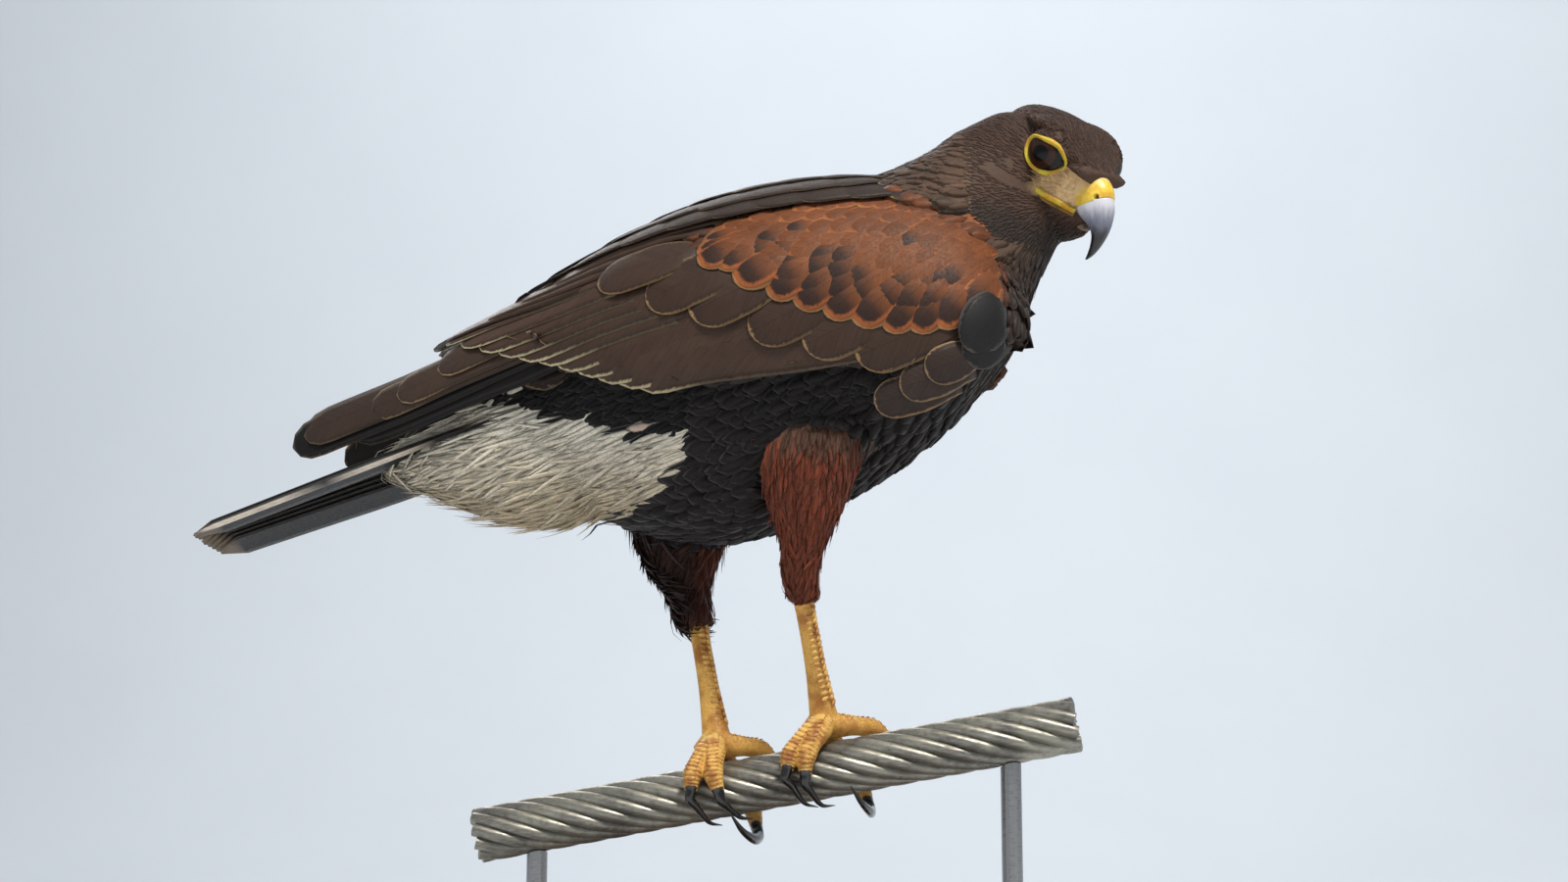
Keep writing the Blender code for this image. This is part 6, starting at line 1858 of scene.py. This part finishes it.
steel = Finish("galvanised_wire", 0.42, Metallic=0.72, Specular_IOR_Level=0.5)
wear, grime, fine = steel.noise(60.0, 5.0), steel.noise(220.0, 4.0), steel.noise(1400.0, 3.0, squeeze=(0.15, 1.0, 1.0))
zinc = steel.mix(steel.step(wear, 0.35, 0.68), tone(160, 158, 148), tone(118, 116, 112))
zinc = steel.mix(steel.step(grime, 0.50, 0.72, 0.0, 0.55), zinc, tone(104, 98, 86))
# Fine pale yellowish streaks along the wires are painted highlights
steel.colour(steel.mix(steel.step(fine, 0.35, 0.7, 0.0, 0.3), zinc, tone(200, 196, 180)))
steel.rough(steel.step(grime, 0.3, 0.7, 0.34, 0.58))
steel.bump(steel.sum("MULTIPLY_ADD", grime, 0.7, fine), 0.25, 0.0003)
start, end = (x / math.cos(PERCH_RISE) for x in PERCH_ENDS)
wires = []
LAYERS = (("outer", WIRE_COUNT, WIRE_RADIUS, PERCH_RADIUS - WIRE_RADIUS), ("inner", 5, 0.0024, 0.0043),
          ("core", 1, 0.0022, 0.0001))
for name, count, radius, ring in LAYERS:
    layer = seeded_points(name, [(0, 0, 0)], [(0, 0, 1)], [1.0])
    laid.run(layer, steel, Start=(start, 0.0, 0.0), End=(end, 0.0, 0.0), Wires=count, Wire=radius, Ring=ring,
             Lay=WIRE_LAY)
    wires.append(layer)
cable = joined("twisted_cable", wires)
points = points_of(cable)
turned = points[:, :1] * perch_way - points[:, 1:2] * perch_near + points[:, 2:] * perch_up
set_points(cable, turned + perch_foot)
turned_out(cable)
dress(cable, steel)
for polygon in cable.data.polygons:
    polygon.use_smooth = len(polygon.vertices) == 4
print("cable faces", len(cable.data.polygons))

# %% [markdown]
# ## Legs and feet
# The tarsi are bare and yellow, with broad scutes down the front. Three toes lie over the cable and the hind toe
# comes up from below. Tubes for hub, toes and tarsus are melted into one leg, so there is no seam at the ankle.

# %% Legs
GAP = 0.0003
FEET = {
    "right": {
        "hub": 0.0205,
        "lean": -0.003,
        "heel": (0.0085, -0.0275, 0.1740),
        "toes": {
            "inner": ((0.000, 12, 1.5), (-0.009, 38, 0.6), (-0.0150, 62, 0.4), (-0.0175, 84, 0.8)),
            "middle": ((0.000, 14, 1.5), (-0.004, 42, 0.4), (-0.0085, 70, 0.4), (-0.0100, 96, 1.0)),
            "outer": ((0.003, -4, 1.0), (0.012, -10, 0.5), (0.0210, -32, 0.4), (0.0270, -64, 0.6)),
            "hind": ((0.000, -22, 1.0), (0.004, -70, 0.5), (0.0100, -115, 1.8), (0.0125, -148, 4.6)),
        },
        "claws": {
            "inner": (0.0030, ((-0.0165, 106, 3.2), (-0.0130, 136, 3.6), (-0.0080, 166, 1.6))),
            "middle": (0.0030, ((-0.0092, 120, 3.2), (-0.0060, 148, 3.4), (-0.0010, 176, 1.6))),
            "outer": (0.0024, ((0.0290, -86, 1.0), (0.0295, -108, 1.2), (0.0280, -128, 1.4))),
            "hind": (0.0031, ((0.0130, -178, 6.2), (0.0110, -208, 5.0), (0.0080, -236, 2.6))),
        },
    },
    "left": {
        "hub": -0.0266,
        "lean": 0.003,
        "heel": (-0.0440, 0.0250, 0.1690),
        "toes": {
            "inner": ((0.000, 12, 1.5), (-0.006, 38, 0.6), (-0.0100, 64, 0.4), (-0.0118, 88, 0.8)),
            "middle": ((0.000, 14, 1.5), (0.000, 42, 0.4), (-0.0010, 70, 0.4), (0.0000, 98, 1.0)),
            "outer": ((0.003, -4, 1.0), (0.011, -10, 0.5), (0.0185, -32, 0.4), (0.0235, -64, 0.6)),
            "hind": ((0.000, -22, 1.0), (0.004, -70, 0.5), (0.0090, -115, 2.2), (0.0105, -150, 6.2)),
        },
        "claws": {
            "inner": (0.0030, ((-0.0105, 112, 3.2), (-0.0070, 140, 3.4), (-0.0025, 168, 1.6))),
            "middle": (0.0030, ((0.0022, 120, 2.8), (0.0065, 144, 2.8), (0.0115, 168, 1.4))),
            "outer": (0.0024, ((0.0255, -86, 1.0), (0.0258, -108, 1.2), (0.0240, -128, 1.4))),
            "hind": (0.0031, ((0.0095, -180, 9.0), (0.0065, -208, 8.0), (0.0030, -234, 5.0))),
        },
    },
}
TOE_RADII = (0.0052, 0.0044, 0.0040, 0.0030)
TARSUS = ((0.0, 0.0064, 0.0056), (0.12, 0.0055, 0.0047), (0.35, 0.0043, 0.0038), (0.65, 0.0040, 0.0035),
          (0.88, 0.0046, 0.0040), (1.0, 0.0054, 0.0047))


def on_perch(s, angle, out):
    """A point s along the perch, angle from its top towards the bird's right, out from its axis."""
    middle = perch_foot + perch_way * s
    return middle + out * (perch_up * math.cos(angle) + perch_near * math.sin(angle))


def toe_path(which, toe, hub):
    hub_s = FEET[which]["hub"] / math.cos(PERCH_RISE)
    rows = []
    for (ds, angle, lift), radius in zip(FEET[which]["toes"][toe], TOE_RADII):
        rows.append([*on_perch(hub_s + ds, math.radians(angle), PERCH_RADIUS + 2 * GAP + radius + lift / 1000), radius])
    start = hub + (np.array(rows[0][:3]) - hub) * 0.35
    return smooth_rows([[*start, TOE_RADII[0]], *rows], 40)


def make_leg(which):
    data = FEET[which]
    hub_s = data["hub"] / math.cos(PERCH_RISE)
    hub = on_perch(hub_s, 0.0, PERCH_RADIUS + 2 * GAP + TOE_RADII[0] + 0.0022)
    ankle = hub + np.array([0.0005, data["lean"] * 0.2, 0.0075])
    saddle = ((-0.0085, -0.0022), (-0.003, 0.0), (0.003, 0.0), (0.0085, -0.0022))
    spine = [hub + perch_way * d + perch_up * u for d, u in saddle]
    pieces = [tube("hub", spine, [0.0032, 0.0060, 0.0060, 0.0034], 24)]
    paths = {}
    for toe in data["toes"]:
        path = toe_path(which, toe, hub)
        # Pads swell between the joints of the toe
        swell = 1.0 + 0.08 * np.cos(np.linspace(0, 17.0, len(path))) * np.linspace(0.3, 1.0, len(path))
        path[:, 3] *= swell * np.where(np.arange(len(path)) > 36, 0.93, 1.0)
        paths[toe] = path
        pieces.append(tube(toe, path[:, :3], path[:, 3], 20, up=unit(path[20, :3] - perch_foot)))
    low, high = np.array([ankle[0], ankle[1], ankle[2] - 0.004]), np.array(data["heel"])
    rows = smooth_rows([(*(low + (high - low) * s), rx, ry) for s, rx, ry in TARSUS], 40)
    turn = 2 * math.pi * np.arange(28) / 28
    rings = [np.stack([x + rx * np.cos(turn), y + ry * np.sin(turn), z + 0 * turn], 1) for x, y, z, rx, ry in rows]
    pieces.append(loft("tarsus", rings))
    leg = skinned(joined(f"leg_{which}", pieces), 0.00055, 4)
    return leg, paths, low, high


leg_finish = skin_finish_of("scaly_leg_skin", tone(236, 184, 92), tone(188, 124, 56), 0.48, 800.0, 0.6)
legs = {}
for which in ("right", "left"):
    leg, paths, low, high = make_leg(which)
    legs[which] = (paths, low, high)
    dress(leg, leg_finish)
    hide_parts(f"foot_{which}", f"tarsus_{which}")
    print(leg.name, "faces", len(leg.data.polygons))

# %% [markdown]
# ## Scutes and claws
# Scutes are raised plates that overlap like tiles down the front of the leg and along each toe. Geometry Nodes
# set a flattened plate on each seeded point. The claws are long, black, glossy hooks.

# %% Scutes by Geometry Nodes, and claws
tile = Tree("scutes", Size="Float", Thickness="Float")
plate = tile.node("MeshUVSphere", None, Segments=10, Rings=5, Radius=tile.given("Size"))
squash = tile.node("ShaderNodeCombineXYZ", None, X=0.42, Y=1.0, Z=tile.given("Thickness"))
plate = tile.node("Transform", None, Geometry=plate.outputs[0], Scale=squash.outputs[0])
turned = tile.turned(axis="Z", name="way")
turned = tile.turned(axis="X", pivot_axis="Z", name="heading", before=turned)
tile.end(tile.set_out(plate.outputs[0], turned))


def scute_rows(which):
    paths, low, high = legs[which]
    places, outs, heads, sizes = [], [], [], []
    axis = unit(high - low)
    for k in range(22):
        s = 0.10 + 0.84 * k / 21
        rx, ry = along(TARSUS, s)
        for turn, size in ((0.0, 1.25), (-1.0, 0.85), (1.0, 0.85)):
            s_here = s + (0.018 if turn else 0.0)
            out = np.array([math.cos(turn), math.sin(turn), 0.0])
            places.append(low + (high - low) * s_here + out * [rx, ry, 0] * 0.93)
            outs.append(unit(out + axis * 0.10))
            heads.append(axis)
            sizes.append(size)
    for toe, path in paths.items():
        for k in range(6, len(path) - 1, 2):
            p, way = path[k, :3], unit(path[k + 1, :3] - path[k - 1, :3])
            axis_point = perch_foot + perch_way * np.dot(p - perch_foot, perch_way)
            out = unit((p - axis_point) - way * np.dot(p - axis_point, way))
            side = np.cross(way, out)
            for turn, size in ((0.0, 1.0), (-0.95, 0.62), (0.95, 0.62)):
                away = unit(out * math.cos(turn) + side * math.sin(turn))
                places.append(p + away * path[k, 3] * 0.94)
                outs.append(unit(away + way * 0.10))
                heads.append(way)
                sizes.append(size * path[k, 3] / 0.0046)
    return np.array(places), np.array(outs), np.array(heads), np.array(sizes)


def claw(name, which, toe):
    path = legs[which][0][toe]
    end, way = path[-1, :3], unit(path[-1, :3] - path[-3, :3])
    hub_s = FEET[which]["hub"] / math.cos(PERCH_RISE)
    radius, rows = FEET[which]["claws"][toe]
    line = [end - way * 0.0022, end - way * 0.0004, end + way * radius * 1.1]
    hug = PERCH_RADIUS + radius * 0.6
    line += [on_perch(hub_s + ds, math.radians(angle), hug + lift / 1000) for ds, angle, lift in rows]
    centres = smooth_rows(line, 36)
    outward = end - perch_foot - perch_way * np.dot(end - perch_foot, perch_way)
    rings, part = [], []
    for k, middle in enumerate(centres):
        ahead = unit(centres[min(k + 1, 35)] - centres[max(k - 1, 0)])
        side = unit(np.cross(ahead, outward))
        r = 1.15 * radius * (1 - 0.93 * (k / 35) ** 1.6)
        rings.append(oval(middle, side, np.cross(side, ahead), r * 0.80, r * 1.12, r * 1.12, 20, 2.1))
        part += [k / 35] * 20
    made = loft(name, rings)
    attribute(made, "to_tip", [*part, 0.0, 1.0], "FLOAT")
    return made


horn = Finish("black_claw_horn", 0.22, Coat_Weight=0.6, Coat_Roughness=0.08)
streak = horn.noise(700.0, 4.0, squeeze=(1, 1, 0.3))
base = horn.mix(horn.step(horn.read("to_tip"), 0.02, 0.22), tone(72, 62, 52), tone(20, 18, 19))
horn.colour(horn.mix(horn.step(streak, 0.4, 0.7, 0.0, 0.35), base, tone(52, 46, 44)))
horn.rough(horn.step(streak, 0.3, 0.7, 0.16, 0.32))
horn.bump(streak, 0.12, 0.0003)
scute_finish = skin_finish_of("leg_scutes", tone(242, 194, 108), tone(170, 108, 56), 0.42, 1500.0, 0.25)
for which in ("right", "left"):
    places, outs, heads, sizes = scute_rows(which)
    scutes = seeded_points(f"scutes_{which}", places, outs, sizes)
    stored(scutes.data, "heading", heads, "FLOAT_VECTOR")
    dress(tile.run(scutes, scute_finish, Size=0.0030, Thickness=0.26), scute_finish)
    for polygon in scutes.data.polygons:
        polygon.use_smooth = True
    for toe in FEET[which]["claws"]:
        hook = dress(claw(f"hook_{which}_{toe}", which, toe), horn)
        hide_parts(f"claw_{which}_{toe}")
    print("scutes on the", which, "leg:", len(places))

# %% [markdown]
# ## Stand
# A plain wooden base and two steel rods hold the cable. The CAD shapes are right as they are, so they only get
# their finishes: a satin, dark stained wood with grain, and brushed steel.

# %% Stand finishes
wood = Finish("stained_wood", 0.42, Coat_Weight=0.2, Coat_Roughness=0.3)
coords = wood.node("TexCoord").outputs["Object"]
stretched = wood.node("Mapping", None, Vector=coords, Scale=(3.0, 30.0, 30.0)).outputs[0]
rings_map = wood.node("TexWave", {"wave_type": "BANDS", "bands_direction": "Y"}, Vector=stretched, Scale=1.6,
                      Distortion=7.0, Detail=3.0)
pores = wood.noise(12.0, 6.0, squeeze=(6.0, 90.0, 90.0))
grain = wood.mix(rings_map.outputs["Fac"], tone(92, 66, 46), tone(58, 40, 29))
wood.colour(wood.mix(wood.step(pores, 0.55, 0.72, 0.0, 0.6), grain, tone(36, 25, 19)))
wood.rough(wood.step(pores, 0.3, 0.7, 0.36, 0.52))
wood.bump(wood.sum("MULTIPLY_ADD", pores, 0.5, rings_map.outputs["Fac"]), 0.12, 0.0004)
rod_steel = Finish("brushed_rod", 0.32, Metallic=1.0)
scratches = rod_steel.noise(300.0, 4.0, squeeze=(1.0, 1.0, 12.0))
rod_steel.colour(rod_steel.mix(scratches, tone(150, 150, 152), tone(190, 190, 190)))
rod_steel.rough(rod_steel.step(scratches, 0.3, 0.7, 0.26, 0.42))
rod_steel.bump(scratches, 0.1, 0.0002)
for name, finish in (("stand_base", wood), ("stand_rod_1", rod_steel), ("stand_rod_2", rod_steel)):
    dress(frame["nodes"][name], finish)
print("stand finished")

# %% [markdown]
# ## Floor, backdrop and light
# A plain pale floor runs up behind the model as one curved sheet. The main soft light stands high on the
# camera's right, where the sun is in the photograph, so the wing shades the flank as it does there. A weak light
# fills from the left, one rims the back, and one lifts the backdrop.

# %% Studio
sweep = []
for y in np.linspace(-4.0, 2.2, 10):
    sweep.append((y, -0.0005))
for a in np.radians(np.linspace(0, 90, 12)):
    sweep.append((2.2 + 1.2 * math.sin(a), 1.2 - 1.2 * math.cos(a) - 0.0005))
sweep.append((3.4, 5.0))
sheet = np.array([[(x, y, z) for x in (-6.0, 6.0)] for y, z in sweep])
i = np.arange(len(sweep) - 1) * 2
floor = mesh_object("studio_floor", sheet.reshape(-1, 3), [np.stack([i, i + 1, i + 3, i + 2], 1)])
floor_finish = Finish("pale_floor", 0.85)
floor_noise = floor_finish.noise(3.0, 3.0)
floor_finish.colour(floor_finish.mix(floor_noise, tone(214, 218, 223), tone(222, 226, 230)))
floor_finish.bump(floor_finish.noise(80.0, 3.0), 0.02, 0.001)
dress(floor, floor_finish)
floor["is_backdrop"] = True
LIGHTS = (
    ("key", (0.62, -0.95, 1.95), (0.0, 0.0, 0.25), 0.45, 44.0, (1.0, 0.95, 0.86)),
    ("fill", (-1.5, -1.3, 0.2), (0.0, 0.0, 0.25), 1.2, 11.0, (0.92, 0.96, 1.0)),
    ("rim", (-0.6, 1.3, 1.3), (0.0, 0.0, 0.25), 0.8, 9.0, (1.0, 0.98, 0.95)),
    ("backdrop", (0.0, 1.2, 2.4), (0.0, 3.4, 1.0), 2.5, 55.0, (0.94, 0.97, 1.0)),
)
for name, place, target, size, power, colour in LIGHTS:
    lamp = bpy.data.lights.new(name, "AREA")
    lamp.size = size
    lamp.energy = power
    lamp.color = colour
    stand = bpy.data.objects.new(name, lamp)
    stand.location = place
    stand.rotation_mode = "QUATERNION"
    stand.rotation_quaternion = (Vector(target) - Vector(place)).to_track_quat("-Z", "Y")
    # The fill lights leave no mirror image in the wet eye
    stand.visible_glossy = name in ("key", "rim")
    bpy.context.scene.collection.objects.link(stand)
world = bpy.data.worlds.new("soft_room")
world.use_nodes = True
world.node_tree.nodes["Background"].inputs["Color"].default_value = (0.80, 0.87, 0.96, 1.0)
world.node_tree.nodes["Background"].inputs["Strength"].default_value = 0.32
bpy.context.scene.world = world
bpy.context.scene.view_settings.view_transform = "Standard"
print("lights", [name for name, *_ in LIGHTS])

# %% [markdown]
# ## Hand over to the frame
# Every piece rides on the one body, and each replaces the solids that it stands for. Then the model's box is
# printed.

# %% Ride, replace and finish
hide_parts("head", "neck", "torso", "wing_right", "wing_left", "tail", "thigh_right", "thigh_left")
for piece_name, node in (("waxy_cere", "cere"), ("horn_bill", "bill_upper"), ("horn_lower_bill", "bill_lower"),
                         ("eyeball_right", "eye_right"), ("eyeball_left", "eye_left"), ("twisted_cable", "perch")):
    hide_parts(node)
cad_nodes = set(frame["nodes"])
for piece in list(bpy.context.scene.objects):
    if piece.type == "MESH" and piece.name not in cad_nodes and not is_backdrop(piece):
        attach(piece, "root")
low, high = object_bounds()
print("visual box", [round(v, 4) for v in (*low, *high)])
